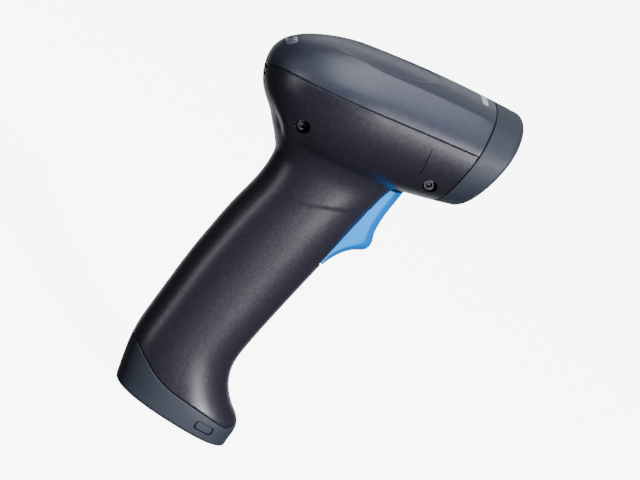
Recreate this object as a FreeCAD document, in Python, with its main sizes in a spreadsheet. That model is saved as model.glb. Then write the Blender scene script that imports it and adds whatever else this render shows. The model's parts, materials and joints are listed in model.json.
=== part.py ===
"""Handheld barcode scanner, cordless type, standing on the foot of its grip.

Row frame: origin at the centre of the flat foot, +X the scanning direction, +Y left, +Z up.
The casing is drawn in a level-head frame, where the head lies along X, and the stand placement
then pitches it up so that the foot is level.  Lengths are in millimetres, angles in degrees.
"""
import FreeCAD
import Part
import Sketcher
import math
import os

Vector = FreeCAD.Vector
Rotation = FreeCAD.Rotation
Placement = FreeCAD.Placement

document = FreeCAD.newDocument("BarcodeScanner")
sheet = document.addObject("Spreadsheet::Sheet", "Dimensions")
sub_parts = []
AXIS_Y = Vector(0, 1, 0)
BIG = 200.0
FAR_ABOVE = 250.0
FAR_BELOW = -60.0


# ---------------------------------------------------------------- dimensions

def store(alias, value):
    """Write one dimension to the sheet and return its value."""
    row = store.next_row
    store.next_row = row + 1
    sheet.set("A%d" % row, alias)
    sheet.set("B%d" % row, str(value))
    sheet.setAlias("B%d" % row, alias)
    store.values[alias] = value
    return value


store.next_row = 1
store.values = {}

pitch = store("stand_pitch", 10.5)
wall = store("wall", 2.2)
rib_trim = store("rib_trim_inset", 0.6)

head_half_width = store("head_half_width", 33.0)
head_axis_height = store("head_axis_height", 143.7)
head_rise = store("head_rise", 19.0)
head_drop = store("head_drop", 28.0)
head_rear = store("head_rear", -21.05)
head_front = store("head_front", 84.0)
width_crest = store("head_width_crest", 25.0)
rise_crest = store("head_rise_crest", 29.0)
drop_crest = store("head_drop_crest", 15.0)
rise_falloff = store("head_rise_falloff", 0.00106)
drop_falloff = store("head_drop_falloff", 0.0019)
side_exponent = store("head_side_exponent", 2.4)
under_exponent = store("head_under_exponent", 2.0)
top_section = store("head_top_section_exponent", 2.1)
lower_section = store("head_lower_section_exponent", 2.2)
grip_section = store("grip_section_exponent", 2.35)
neck_fillet = store("neck_fillet_radius", 5.0)

nose_seam_x = store("nose_seam_x", 63.2)
nose_seam_height = store("nose_seam_height", 146.9)
nose_seam_slant = store("nose_seam_slant", 12.7)
rim_x = store("rim_x", 77.2)
rim_height = store("rim_height", 154.0)
rim_slant = store("rim_slant", 18.0)
rim_fillet = store("rim_fillet_radius", 2.4)
bezel_seat = store("bezel_seat_inset", 2.8)
bezel_lip = store("bezel_lip_inset", 4.8)
window_recess = store("window_recess", 5.6)
gasket_thickness = store("gasket_thickness", 0.8)
window_thickness = store("window_thickness", 1.6)

pivot_x = store("trigger_pivot_x", 33.0)
pivot_height = store("trigger_pivot_height", 110.0)
trigger_width = store("trigger_width", 15.8)
trigger_slot_width = store("trigger_slot_width", 16.6)
engine_x = store("engine_x", 44.0)
engine_post_y = store("engine_post_y", 16.0)
engine_post_top = store("engine_post_top", 132.8)

# Grip stations: height, back, front and half width.
GRIP_STATIONS = [
    (-8.0, -23.8, 24.6, 15.0),
    (0.0, -24.2, 25.8, 15.7),
    (4.7, -24.4, 26.4, 16.0),
    (7.8, -24.6, 25.2, 16.1),
    (11.0, -24.9, 22.2, 16.2),
    (14.4, -25.1, 19.6, 16.3),
    (20.0, -25.3, 16.8, 16.4),
    (27.2, -24.9, 15.5, 16.4),
    (36.0, -23.3, 17.0, 16.4),
    (50.2, -20.3, 21.2, 16.5),
    (62.6, -17.5, 25.2, 16.6),
    (75.3, -14.0, 29.4, 16.8),
    (87.8, -10.1, 33.4, 17.0),
    (97.2, -6.6, 36.4, 17.1),
    (104.0, -4.8, 38.7, 17.2),
    (110.0, -4.1, 40.7, 17.4),
    (114.6, -4.6, 42.6, 18.0),
    (119.0, -6.6, 45.0, 19.6),
    (124.0, -9.6, 47.0, 22.0),
]
# Side seam between the top cover and the lower housing: points along X and Z.
SIDE_SEAM = [(-30.0, 139.0), (-21.0, 143.8), (-16.5, 146.1), (-6.0, 147.8), (15.0, 148.3), (90.0, 146.2)]
# Seam between the grip and the end cap: points along X and Z.
CAP_SEAM = [(-34.0, 25.0), (-22.7, 22.6), (-17.0, 17.6), (-11.0, 13.5), (0.0, 10.2), (12.0, 7.5),
            (34.0, 2.0), (60.0, -5.0)]

stand = Placement(Vector(0, 0, 0), Rotation(AXIS_Y, -pitch))
level = Placement(Vector(0, 0, 0), Rotation(AXIS_Y, pitch))


# ---------------------------------------------------------------- helpers

def publish(item, label, placement=None):
    """Name a finished sub-part and set it in the row frame."""
    item.Label = label
    sub_parts.append((item, placement))
    return item


def shape_object(name, shape):
    item = document.addObject("Part::Feature", name)
    item.Shape = shape
    return item


def cut(name, base, *tools):
    result = base
    for number, tool in enumerate(tools):
        item = document.addObject("Part::Cut", "%s_%d" % (name, number))
        item.Base = result
        item.Tool = tool
        result = item
    return result


def fuse(name, *shapes):
    result = shapes[0]
    for number, other in enumerate(shapes[1:]):
        item = document.addObject("Part::Fuse", "%s_%d" % (name, number))
        item.Base = result
        item.Tool = other
        result = item
    return result


def group(name, *shapes):
    """Several tools that meet or stand apart, joined so that one cut uses them all."""
    item = document.addObject("Part::MultiFuse", name)
    item.Shapes = list(shapes)
    return item


def common(name, *shapes):
    result = shapes[0]
    for number, other in enumerate(shapes[1:]):
        item = document.addObject("Part::Common", "%s_%d" % (name, number))
        item.Base = result
        item.Tool = other
        result = item
    return result


def box(name, length, width, height, centre, placement=None):
    """Box whose sides are cells of the sheet, about its centre."""
    item = document.addObject("Part::Box", name)
    for side, value in (("Length", length), ("Width", width), ("Height", height)):
        alias = "%s_%s" % (name, side.lower())
        store(alias, value)
        item.setExpression(side, "Dimensions." + alias)
    corner = Vector(*centre) - Vector(length / 2.0, width / 2.0, height / 2.0)
    item.Placement = Placement(corner, Rotation())
    if placement is not None:
        item.Placement = placement.multiply(item.Placement)
    return item


def cylinder(name, radius, height, foot, axis, sweep=360.0):
    """Cylinder whose radius and height are cells of the sheet, from its foot along an axis."""
    item = document.addObject("Part::Cylinder", name)
    for side, value in (("Radius", radius), ("Height", height)):
        alias = "%s_%s" % (name, side.lower())
        store(alias, value)
        item.setExpression(side, "Dimensions." + alias)
    item.Angle = sweep
    item.Placement = Placement(Vector(*foot), Rotation(Vector(0, 0, 1), Vector(*axis)))
    return item


def tube(name, outer, inner, height, foot, axis):
    solid = cylinder(name + "_outside", outer, height, foot, axis)
    bore = cylinder(name + "_bore", inner, height, foot, axis)
    return cut(name, solid, bore)


def origin_plane(body, role):
    for feature in body.Origin.OriginFeatures:
        if feature.Role == role:
            return feature
    raise ValueError(role)


def sketch_on(body, role, name):
    sketch = body.newObject("Sketcher::SketchObject", name)
    sketch.AttachmentSupport = [(origin_plane(body, role), "")]
    sketch.MapMode = "FlatFace"
    return sketch


def draw_polygon(sketch, points):
    first = sketch.GeometryCount
    for start, end in zip(points, points[1:] + points[:1]):
        sketch.addGeometry(Part.LineSegment(Vector(*start, 0), Vector(*end, 0)), False)
    count = len(points)
    for number in range(count):
        following = first + (number + 1) % count
        sketch.addConstraint(Sketcher.Constraint("Coincident", first + number, 2, following, 1))


def draw_circle(sketch, centre, radius, alias):
    """Circle whose radius is a cell of the sheet."""
    index = sketch.addGeometry(Part.Circle(Vector(*centre, 0), Vector(0, 0, 1), radius), False)
    constraint = sketch.addConstraint(Sketcher.Constraint("Radius", index, radius))
    store(alias, radius)
    sketch.setExpression("Constraints[%d]" % constraint, "Dimensions." + alias)


def plate(name, outline, thickness, holes=(), hole_radius=0.0):
    """PartDesign plate on the XY plane with round holes."""
    body = document.addObject("PartDesign::Body", name)
    sketch = sketch_on(body, "XY_Plane", name + "_outline")
    draw_polygon(sketch, outline)
    for number, centre in enumerate(holes):
        draw_circle(sketch, centre, hole_radius, "%s_hole_%s" % (name, "abcdefgh"[number]))
    pad = body.newObject("PartDesign::Pad", name + "_pad")
    pad.Profile = sketch
    store(name + "_thickness", thickness)
    pad.setExpression("Length", "Dimensions.%s_thickness" % name)
    return body


def turned(name, outline):
    """PartDesign revolution about the Z axis of a half outline in radius and height."""
    body = document.addObject("PartDesign::Body", name)
    sketch = sketch_on(body, "XZ_Plane", name + "_profile")
    draw_polygon(sketch, outline)
    revolution = body.newObject("PartDesign::Revolution", name + "_turn")
    revolution.Profile = sketch
    revolution.ReferenceAxis = (sketch, ["V_Axis"])
    store(name + "_sweep", 360.0)
    revolution.setExpression("Angle", "Dimensions.%s_sweep" % name)
    return body


def rectangle(length, width, centre=(0.0, 0.0)):
    x, y = centre
    half_length = length / 2.0
    half_width = width / 2.0
    return [(x - half_length, y - half_width), (x + half_length, y - half_width),
            (x + half_length, y + half_width), (x - half_length, y + half_width)]


def screw_outline(head_radius, head_height, shank_radius, length, recess_radius=0.9):
    """Half outline of a pan-head screw, head up, its seat at height zero."""
    return [(0.0, -length), (shank_radius * 0.6, -length), (shank_radius, -length + 1.0),
            (shank_radius, 0.0), (head_radius, 0.0), (head_radius, head_height * 0.6),
            (head_radius * 0.75, head_height), (recess_radius, head_height),
            (recess_radius * 0.6, head_height * 0.4), (0.0, head_height * 0.4)]


def copies(name, source, places):
    """Separate solids of one source shape, at several places."""
    source.recompute(True)
    shapes = []
    for place in places:
        solid = source.Shape.copy()
        solid.Placement = place.multiply(solid.Placement)
        shapes.append(solid)
    return shape_object(name, Part.makeCompound(shapes))


def facing(position, axis):
    """Placement that turns local +Z along an axis."""
    return Placement(Vector(*position), Rotation(Vector(0, 0, 1), Vector(*axis)))


# ---------------------------------------------------------------- envelopes

def swell(distance, reach, exponent):
    """Share of its full size that a rounded end keeps at a distance behind its crest."""
    if distance <= 0:
        return 1.0
    return (1.0 - (distance / reach) ** exponent) ** (1.0 / exponent)


def ring_point(angle, half_width, half_height, exponent):
    across = math.cos(angle)
    up = math.sin(angle)
    sum_of_powers = (abs(across) / half_width) ** exponent + (abs(up) / half_height) ** exponent
    radius = sum_of_powers ** (-1.0 / exponent)
    return radius * across, radius * up


def smooth_ring(points):
    curve = Part.BSplineCurve()
    curve.interpolate(Points=points, PeriodicFlag=True)
    return Part.Wire([curve.toShape()])


RING_POINTS = 36


def head_ring(x, inset):
    rear = head_rear + inset
    half_width = (head_half_width - inset) * swell(width_crest - x, width_crest - rear, side_exponent)
    rise = (head_rise - inset) * swell(rise_crest - x, rise_crest - rear, side_exponent)
    rise = rise - rise_falloff * max(0.0, x - rise_crest) ** 2
    drop = (head_drop - inset) * swell(drop_crest - x, drop_crest - rear, under_exponent)
    drop = drop - drop_falloff * max(0.0, x - drop_crest) ** 2
    points = []
    for number in range(RING_POINTS):
        angle = 2.0 * math.pi * number / RING_POINTS
        if math.sin(angle) >= 0:
            y, z = ring_point(angle, half_width, rise, top_section)
        else:
            y, z = ring_point(angle, half_width, drop, lower_section)
        points.append(Vector(x, y, head_axis_height + z))
    return smooth_ring(points)


def head_envelope(name, inset):
    """The head, or the same shape inset by a wall."""
    rear = head_rear + inset
    rings = []
    for degrees in (2.5, 8, 15, 24, 34, 46, 60, 75, 90):
        x = rear + (width_crest - rear) * (1.0 - math.cos(math.radians(degrees)))
        rings.append(head_ring(x, inset))
    for x in (45.0, 65.0, head_front):
        rings.append(head_ring(x, inset))
    return shape_object(name, Part.makeLoft(rings, True, False))


def grip_envelope(name, inset):
    """The grip, or the same shape inset by a wall."""
    rings = []
    for height, back, front, half_width in GRIP_STATIONS:
        centre = (back + front) / 2.0
        half_depth = (front - back) / 2.0 - inset
        points = []
        for number in range(RING_POINTS):
            angle = 2.0 * math.pi * number / RING_POINTS
            x, y = ring_point(angle, half_depth, half_width - inset, grip_section)
            points.append(Vector(centre + x, y, height))
        rings.append(smooth_ring(points))
    return shape_object(name, Part.makeLoft(rings, True, False))


def seam_block(name, seam, far):
    """Everything on one side of a seam curve that runs straight across in Y."""
    curve = Part.BSplineCurve()
    curve.interpolate([Vector(x, -BIG / 2, z) for x, z in seam])
    first = curve.StartPoint
    last = curve.EndPoint
    far_last = Vector(last.x, last.y, far)
    far_first = Vector(first.x, first.y, far)
    edges = [curve.toShape(), Part.makeLine(last, far_last),
             Part.makeLine(far_last, far_first), Part.makeLine(far_first, first)]
    face = Part.Face(Part.Wire(edges))
    return shape_object(name, face.extrude(Vector(0, BIG, 0)))


def slanted_block(name, x, z, slant, thickness):
    """Block whose rear face passes through a point and leans forward at the top."""
    item = document.addObject("Part::Box", name)
    store(name + "_depth", thickness)
    store(name + "_span", BIG)
    item.setExpression("Length", "Dimensions.%s_depth" % name)
    item.setExpression("Width", "Dimensions.%s_span" % name)
    item.setExpression("Height", "Dimensions.%s_span" % name)
    turn = Rotation(AXIS_Y, slant)
    item.Placement = Placement(Vector(x, 0, z) + turn.multVec(Vector(0, -BIG / 2, -BIG / 2)), turn)
    return item


def behind_rim(distance):
    """Point on the plane parallel to the rim plane, a distance behind it."""
    lean = math.radians(rim_slant)
    return rim_x - distance * math.cos(lean), rim_height + distance * math.sin(lean)


def prism(name, outline, width):
    """Outline in X and Z, extruded evenly to both sides of the middle plane."""
    points = [Vector(x, -width / 2.0, z) for x, z in outline]
    face = Part.Face(Part.makePolygon(points + points[:1]))
    return shape_object(name, face.extrude(Vector(0, width, 0)))


head_outer = head_envelope("head_outer", 0.0)
head_skin = head_envelope("head_skin", rib_trim)
head_inner = head_envelope("head_inner", wall)
grip_outer = grip_envelope("grip_outer", 0.0)
grip_skin = grip_envelope("grip_skin", rib_trim)
grip_inner = grip_envelope("grip_inner", wall)

body_sharp = fuse("body_sharp", head_outer, grip_outer)
body_skin = fuse("body_skin", head_skin, grip_skin)
cavity = fuse("cavity", head_inner, grip_inner)
body_sharp.recompute(True)


def neck_edge(shape):
    """Index of the closed edge where the grip meets the underside of the head."""
    for number, edge in enumerate(shape.Edges, start=1):
        bounds = edge.BoundBox
        if edge.Length > 120.0 and bounds.ZMin > 112.0 and bounds.ZMax < 126.0:
            return number
    raise ValueError("neck edge")


body_outer = document.addObject("Part::Fillet", "body_outer")
body_outer.Base = body_sharp
body_outer.Edges = [(neck_edge(body_sharp.Shape), neck_fillet, neck_fillet)]

# ---------------------------------------------------------------- cutters

above_seam = seam_block("above_seam", SIDE_SEAM, FAR_ABOVE)
above_cap = seam_block("above_cap", CAP_SEAM, FAR_ABOVE)
below_cap = seam_block("below_cap", CAP_SEAM, FAR_BELOW)
nose_front = slanted_block("nose_front", nose_seam_x, nose_seam_height, nose_seam_slant, BIG)
rim_front = slanted_block("rim_front", rim_x, rim_height, rim_slant, BIG)
below_foot = box("below_foot", BIG, BIG, BIG, (0, 0, -BIG / 2), level)
right_side = box("right_side", 2 * BIG, BIG, 2 * BIG, (0, -BIG / 2, 100))

# ---------------------------------------------------------------- upper housing

light_pipe_axis = (-0.55, 0.0, 0.835)
light_pipe_foot = (-11.9, 0.0, 148.6)


def light_pipe_bar(name, radius):
    return cylinder(name, radius, 20.0, light_pipe_foot, light_pipe_axis)


top_shell = cut("top_shell", common("top_half", head_outer, above_seam), head_inner, nose_front)
dish_centre = store("dish_centre_x", 20.0)
dish_half_length = store("dish_half_length", 23.5)
dish_half_width = store("dish_half_width", 17.5)
dish_depth = store("dish_depth", 0.8)
dish_edge = Part.Ellipse(Vector(dish_centre, 0, 150), dish_half_length, dish_half_width)
dish_face = Part.Face(Part.Wire([dish_edge.toShape()]))
dish_prism = shape_object("dish_prism", dish_face.extrude(Vector(0, 0, 40)))
dish_floor = head_envelope("dish_floor", dish_depth)
dish = cut("dish", dish_prism, dish_floor)

board_length = 42.0
board_width = 38.0
board_height = 145.0
board_thickness = 1.6
board_centre_x = 11.0
board_screw_places = [(board_centre_x + i * 17.0, j * 15.0) for i in (-1, 1) for j in (-1, 1)]
post_trim = head_envelope("post_trim", wall / 2)
board_posts = []
for number, (x, y) in enumerate(board_screw_places):
    post = cylinder("board_post_%d" % number, 2.6, 30.0, (x, y, board_height + board_thickness), (0, 0, 1))
    board_posts.append(common("board_post_trimmed_%d" % number, post, post_trim))
pilot_holes = []
for number, (x, y) in enumerate(board_screw_places):
    pilot_holes.append(cylinder("board_pilot_%d" % number, 1.1, 6.0,
                                (x, y, board_height + board_thickness), (0, 0, 1)))
upper_solid = fuse("upper_solid", top_shell, *board_posts)
upper_housing = cut("upper_housing", upper_solid, dish, light_pipe_bar("light_pipe_hole", 2.9),
                    group("board_pilots", *pilot_holes))
publish(upper_housing, "upper_housing", stand)
publish(common("light_pipe", light_pipe_bar("light_pipe_bar", 2.8), dish_floor), "status_light_pipe", stand)

# ---------------------------------------------------------------- lower housing halves

lower_shell = cut("lower_shell", body_outer, nose_front, above_seam, below_cap, cavity)

trigger_slot = prism("trigger_slot", [(26.0, 77.0), (32.0, 76.2), (52.0, 96.0), (52.0, 116.3),
                                      (28.0, 116.3), (27.0, 100.0)], trigger_slot_width)
beeper_slots = [box("beeper_slot_%d" % k, 12.0, 11.0, 1.2, (-20.0, 0, 136.4 + 2.6 * k)) for k in range(3)]
label_box = box("label_area", 41.5, 30.0, 12.6, (25.4, -35.0, 138.2))
label_recess = cut("label_recess", label_box, head_envelope("label_floor", 0.35))

latch_centre = Vector(13.6, 0, 2.7)
latch_turn = Placement(latch_centre, Rotation(AXIS_Y, pitch))
tongue_outer = grip_envelope("tongue_outer", wall - 0.4)
tongue_inner = grip_envelope("tongue_inner", wall + 1.5)
latch_window = box("latch_window", 8.0, 60.0, 3.6, (0, 0, 0), latch_turn)
tongue_room = common("tongue_room", box("tongue_space", 7.2, 60.0, 12.0, (0, 0, 4.0), latch_turn),
                     grip_envelope("tongue_room_edge", wall - 0.5))
tongue_block = box("tongue_block", 6.8, 60.0, 9.6, (0, 0, 3.0), latch_turn)
tongues = cut("tongues", common("tongue_slice", tongue_block, tongue_outer), tongue_inner)
tab_block = box("tab_block", 6.4, 60.0, 3.0, (0, 0, 0), latch_turn)
tabs = cut("tabs", common("tab_slice", tab_block, grip_envelope("tab_face", 0.4)), tongue_inner)
# Side screws: place along X and Z, and how far the seat of the head is from the middle plane.
side_screw_places = [(-0.9, 129.9, 20.2), (51.8, 128.1, 22.6)]
bosses = []
boss_bores = []
for number, (x, z, seat) in enumerate(side_screw_places):
    boss = cylinder("side_boss_%d" % number, 3.6, 80.0, (x, -40.0, z), (0, 1, 0))
    bosses.append(common("side_boss_trimmed_%d" % number, boss, body_skin))
    boss_bores.append(cylinder("side_counterbore_%d" % number, 2.9, 60.0, (x, -seat, z), (0, -1, 0)))
    clearance_foot = (x, -seat - 0.5, z)
    boss_bores.append(cylinder("side_clearance_%d" % number, 1.6, seat + 1.0, clearance_foot, (0, 1, 0)))
    boss_bores.append(cylinder("side_pilot_%d" % number, 1.25, 14.0, (x, -0.5, z), (0, 1, 0)))

ribs = []
for side, sign in (("right", -1), ("left", 1)):
    pin_boss = tube("pin_boss_" + side, 3.4, 1.25, 30.0, (pivot_x, sign * 8.7, pivot_height), (0, sign, 0))
    seat = box("spring_seat_" + side, 2.0, 30.0, 8.0, (21.5, sign * 15.0, 91.0))
    post_top = (engine_x, sign * engine_post_y, engine_post_top)
    engine_post = cylinder("engine_post_" + side, 2.6, 30.0, post_top, (0, 0, -1))
    engine_pilot = cylinder("engine_pilot_" + side, 1.1, 7.0, post_top, (0, 0, -1))
    engine_stand = cut("engine_stand_" + side, common("engine_post_trimmed_" + side, engine_post, body_skin),
                       engine_pilot)
    ribs.append((common("pin_boss_trimmed_" + side, pin_boss, body_skin),
                 common("seat_trimmed_" + side, seat, body_skin), engine_stand))

lower_solid = fuse("lower_solid", lower_shell, *(bosses + [tongues, tabs]))
lower_open = cut("lower_open", lower_solid, trigger_slot)
drills = group("lower_drills", *(beeper_slots + boss_bores))
right_half = common("right_half", lower_open, right_side)
left_half = document.addObject("Part::Mirroring", "left_half")
left_half.Source = right_half
left_half.Base = Vector(0, 0, 0)
left_half.Normal = AXIS_Y
right_drilled = cut("right_drilled", right_half, drills)
left_drilled = cut("left_drilled", left_half, drills)
housing_right = cut("housing_right", fuse("right_with_ribs", right_drilled, *ribs[0]), label_recess)
housing_left = fuse("housing_left", left_drilled, *ribs[1])
publish(housing_right, "housing_right", stand)
publish(housing_left, "housing_left", stand)

# ---------------------------------------------------------------- end cap

cap_floor = store("cap_floor", 2.6)
cap_interior = cut("cap_interior", grip_inner, box("cap_floor_block", BIG, BIG, BIG,
                                                   (0, 0, -BIG / 2 + cap_floor), level))
socket_x = 9.0
socket_mouth = box("socket_mouth", 3.5, 9.2, 12.0, (socket_x, 0, 2.0), level)
contact_places = [(-4.0, -7.0), (-4.0, 7.0)]
contact_holes = [cylinder("contact_hole_%d" % k, 1.6, 12.0, level.multVec(Vector(x, y, -4.0)),
                          level.Rotation.multVec(Vector(0, 0, 1)))
                 for k, (x, y) in enumerate(contact_places)]
cap_solid = cut("cap_solid", grip_outer, above_cap, below_foot, cap_interior)
end_cap = cut("end_cap", cap_solid, tongue_room, latch_window,
              group("foot_holes", socket_mouth, *contact_holes))
publish(end_cap, "end_cap", stand)

# ---------------------------------------------------------------- nose bezel, gasket and window

seat_envelope = head_envelope("seat_envelope", bezel_seat)
lip_envelope = head_envelope("lip_envelope", bezel_lip)
step_x, step_z = behind_rim(window_recess)
glass_x, glass_z = behind_rim(window_recess + gasket_thickness)
rear_x, rear_z = behind_rim(window_recess + gasket_thickness + window_thickness)
step_front = slanted_block("step_front", step_x, step_z, rim_slant, BIG)
glass_front = slanted_block("glass_front", glass_x, glass_z, rim_slant, BIG)
rear_front = slanted_block("rear_front", rear_x, rear_z, rim_slant, BIG)
bezel_block = cut("bezel_block", common("bezel_slice", head_outer, nose_front), rim_front)
bezel_block.recompute(True)


def rim_edge(shape):
    """Index of the outer edge of the front rim: the closed edge that lies furthest forward."""
    numbered = list(enumerate(shape.Edges, start=1))
    return max(numbered, key=lambda pair: pair[1].CenterOfMass.x * (pair[1].Length > 100.0))[0]


bezel_round = document.addObject("Part::Fillet", "bezel_round")
bezel_round.Base = bezel_block
bezel_round.Edges = [(rim_edge(bezel_block.Shape), rim_fillet, rim_fillet)]
bezel_bore = cut("bezel_bore", seat_envelope, step_front)
nose_bezel = cut("nose_bezel", bezel_round, lip_envelope, bezel_bore)
publish(nose_bezel, "nose_bezel", stand)
gasket_front = common("gasket_front", seat_envelope, glass_front)
gasket_slice = cut("gasket_slice", gasket_front, step_front, lip_envelope)
publish(gasket_slice, "window_gasket", stand)
publish(cut("window", common("window_front", head_envelope("window_edge", bezel_seat + 0.1), rear_front),
            glass_front), "scan_window", stand)

# ---------------------------------------------------------------- trigger and its switch

# Side view of the trigger in X and Z: the front is a smooth curve with a horn, the back is straight.
TRIGGER_FRONT = [(30.0, 77.4), (32.4, 80.8), (34.9, 84.1), (37.7, 86.7), (40.6, 88.3), (43.2, 89.6),
                 (44.6, 92.6), (44.1, 96.5), (44.1, 100.5), (44.8, 105.5), (46.0, 110.5), (47.4, 115.2)]
TRIGGER_BACK = [(38.0, 115.4), (33.0, 113.6), (29.4, 111.0), (29.4, 106.0), (29.9, 95.0), (27.6, 79.6)]


def curved_face(front, back):
    """Face in the XZ plane bounded by a smooth front curve and a straight-sided back."""
    curve = Part.BSplineCurve()
    curve.interpolate([Vector(x, 0, z) for x, z in front])
    corners = [Vector(x, 0, z) for x, z in front[-1:] + back + front[:1]]
    edges = [curve.toShape()] + [Part.makeLine(a, b) for a, b in zip(corners, corners[1:])]
    return Part.Face(Part.Wire(edges))


half_trigger = trigger_width / 2.0
trigger_face = curved_face(TRIGGER_FRONT, TRIGGER_BACK)
trigger_face.translate(Vector(0, -half_trigger, 0))
trigger_block = shape_object("trigger_block", trigger_face.extrude(Vector(0, trigger_width, 0)))
front_edges = [(number, 2.2, 2.2) for number, edge in enumerate(trigger_block.Shape.Edges, start=1)
               if edge.Curve.TypeId == "Part::GeomBSplineCurve"]
trigger_round = document.addObject("Part::Fillet", "trigger_round")
trigger_round.Base = trigger_block
trigger_round.Edges = front_edges
trigger_hollow = prism("trigger_hollow", [(20.0, 80.4), (30.6, 80.4), (33.6, 84.6), (38.0, 88.6),
                                          (42.2, 92.0), (42.0, 104.6), (20.0, 104.6)], 12.2)
actuator_height = pivot_height - store("actuator_arm", 10.0)
actuator_bar = box("actuator_bar", 14.4, 3.0, 2.4, (36.4, 0, actuator_height))
actuator_tip = cylinder("actuator_tip", 1.2, 3.0, (29.2, -1.5, actuator_height), (0, 1, 0))
spring_pad = box("spring_pad", 8.0, 7.0, 7.0, (38.6, 0, 91.0))
pad_in_trigger = common("pad_in_trigger", spring_pad, trigger_round)
pin_bore = cylinder("trigger_pin_bore", 1.25, 20.0, (pivot_x, -10.0, pivot_height), (0, 1, 0))
trigger_shell = cut("trigger_shell", trigger_round, trigger_hollow)
trigger_solid = fuse("trigger_solid", trigger_shell, actuator_bar, actuator_tip, pad_in_trigger)
trigger = cut("trigger", trigger_solid, pin_bore)
publish(trigger, "trigger", stand)
pin_length = 20.8
publish(cylinder("pin", 1.2, pin_length, (pivot_x, -pin_length / 2.0, pivot_height), (0, 1, 0)),
        "trigger_pivot_pin", stand)

plunger_tip_x = 27.9
switch_body = box("switch_body", 4.6, 6.0, 6.0, (22.9, 0, actuator_height))
plunger_bore = cylinder("plunger_bore", 1.6, 3.2, (22.1, 0, actuator_height), (1, 0, 0))
publish(cut("switch", switch_body, plunger_bore), "trigger_switch", stand)
plunger = cylinder("plunger", 1.5, 4.4, (plunger_tip_x - 4.4, 0, actuator_height), (1, 0, 0))
publish(plunger, "switch_plunger", stand)
publish(box("trigger_board", 1.2, 16.0, 12.0, (20.0, 0, 102.0)), "trigger_board", stand)

spring_radius = 2.3
spring_start = 22.7
spring_end = 34.4
spring_wire = store("trigger_spring_wire_radius", 0.3)
spring_turns = 6.0
spring_length = spring_end - spring_start - 2 * spring_wire
helix = Part.makeHelix(spring_length / spring_turns, spring_length, spring_radius)
wire_circle = Part.Wire([Part.makeCircle(spring_wire, Vector(spring_radius, 0, 0), Vector(0, 1, 0))])
coil = Part.Wire(helix.Edges).makePipeShell([wire_circle], True, True)
spring = shape_object("spring", coil)
spring.Placement = facing((spring_start + spring_wire, 0, 91.0), (1, 0, 0))
publish(spring, "trigger_return_spring", stand)

# ---------------------------------------------------------------- boards and electronics in the head

board_outline = rectangle(board_length, board_width, (board_centre_x, 0.0))
main_board = plate("main_board", board_outline, board_thickness, board_screw_places, 1.3)
main_board.Placement = Placement(Vector(0, 0, board_height), Rotation())
publish(main_board, "main_board", stand)
board_top = board_height + board_thickness
publish(box("processor", 13.0, 13.0, 1.4, (10.0, 0.0, board_top + 0.7)), "processor", stand)
publish(box("memory_chip", 8.0, 10.0, 1.0, (21.0, 6.0, board_top + 0.5)), "memory_chip", stand)
publish(box("radio_module", 11.0, 11.5, 2.2, (23.0, -6.25, board_top + 1.1)), "radio_module", stand)
publish(box("status_led", 3.0, 3.0, 1.6, (-7.6, 0.0, board_top + 0.8)), "status_led", stand)
publish(cylinder("beeper", 6.0, 4.5, (-2.0, 0.0, board_height - 4.5), (0, 0, 1)), "beeper", stand)
publish(box("board_connector", 4.0, 14.0, 2.0, (29.0, 0.0, board_height - 1.0)), "board_connector", stand)
board_screw = turned("board_screw", screw_outline(2.3, 1.6, 1.05, 6.4))
engine_screw = turned("engine_screw", screw_outline(2.3, 1.6, 1.05, 6.4))
side_screw = turned("side_screw", screw_outline(2.7, 1.8, 1.2, 30.0, 1.2))
board_screws = copies("board_screw_set", board_screw,
                      [facing((x, y, board_height), (0, 0, -1)) for x, y in board_screw_places])
publish(board_screws, "board_screws", stand)
side_screws = copies("side_screw_set", side_screw,
                     [facing((x, -seat, z), (0, -1, 0)) for x, z, seat in side_screw_places])
publish(side_screws, "side_screws", stand)

# ---------------------------------------------------------------- scan engine

engine_floor = engine_post_top + 1.4
engine_bracket = plate("engine_bracket", rectangle(14.0, 40.0, (engine_x, 0.0)), 1.4,
                       [(engine_x, -engine_post_y), (engine_x, engine_post_y)], 1.3)
engine_bracket.Placement = Placement(Vector(0, 0, engine_post_top), Rotation())
publish(engine_bracket, "engine_bracket", stand)
engine_screw_places = [(engine_x, -engine_post_y, engine_floor), (engine_x, engine_post_y, engine_floor)]
engine_screws = copies("engine_screw_set", engine_screw,
                       [facing(place, (0, 0, 1)) for place in engine_screw_places])
publish(engine_screws, "engine_screws", stand)
engine_axis_height = 143.0
chassis_block = box("chassis_block", 12.0, 24.0, 17.6, (44.0, 0, engine_floor + 8.8))
lens_bore = cylinder("lens_bore", 4.6, 30.0, (36.0, 0, engine_axis_height), (1, 0, 0))
aimer_bore = cylinder("aimer_bore", 2.1, 30.0, (36.0, 8.6, engine_axis_height), (1, 0, 0))
publish(cut("chassis", chassis_block, lens_bore, aimer_bore), "engine_chassis", stand)
publish(box("sensor_board", 1.2, 24.0, 17.6, (37.4, 0, engine_floor + 8.8)), "sensor_board", stand)
publish(box("image_sensor", 1.0, 6.4, 6.4, (38.5, 0, engine_axis_height)), "image_sensor", stand)
barrel = tube("lens_barrel", 4.5, 3.2, 11.0, (41.0, 0, engine_axis_height), (1, 0, 0))
publish(barrel, "lens_barrel", stand)
objective = cylinder("objective_lens", 3.15, 1.8, (49.6, 0, engine_axis_height), (1, 0, 0))
publish(objective, "objective_lens", stand)
aimer = cylinder("aimer_module", 2.05, 11.0, (39.6, 8.6, engine_axis_height), (1, 0, 0))
publish(aimer, "aimer_module", stand)
publish(cylinder("aimer_lens", 2.05, 1.4, (50.7, 8.6, engine_axis_height), (1, 0, 0)), "aimer_lens", stand)
light_board = box("light_board", 1.2, 34.0, 6.0, (52.8, 0, 151.6))
publish(light_board, "illumination_board", stand)
light_places = [-12.0, 12.0]
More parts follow.
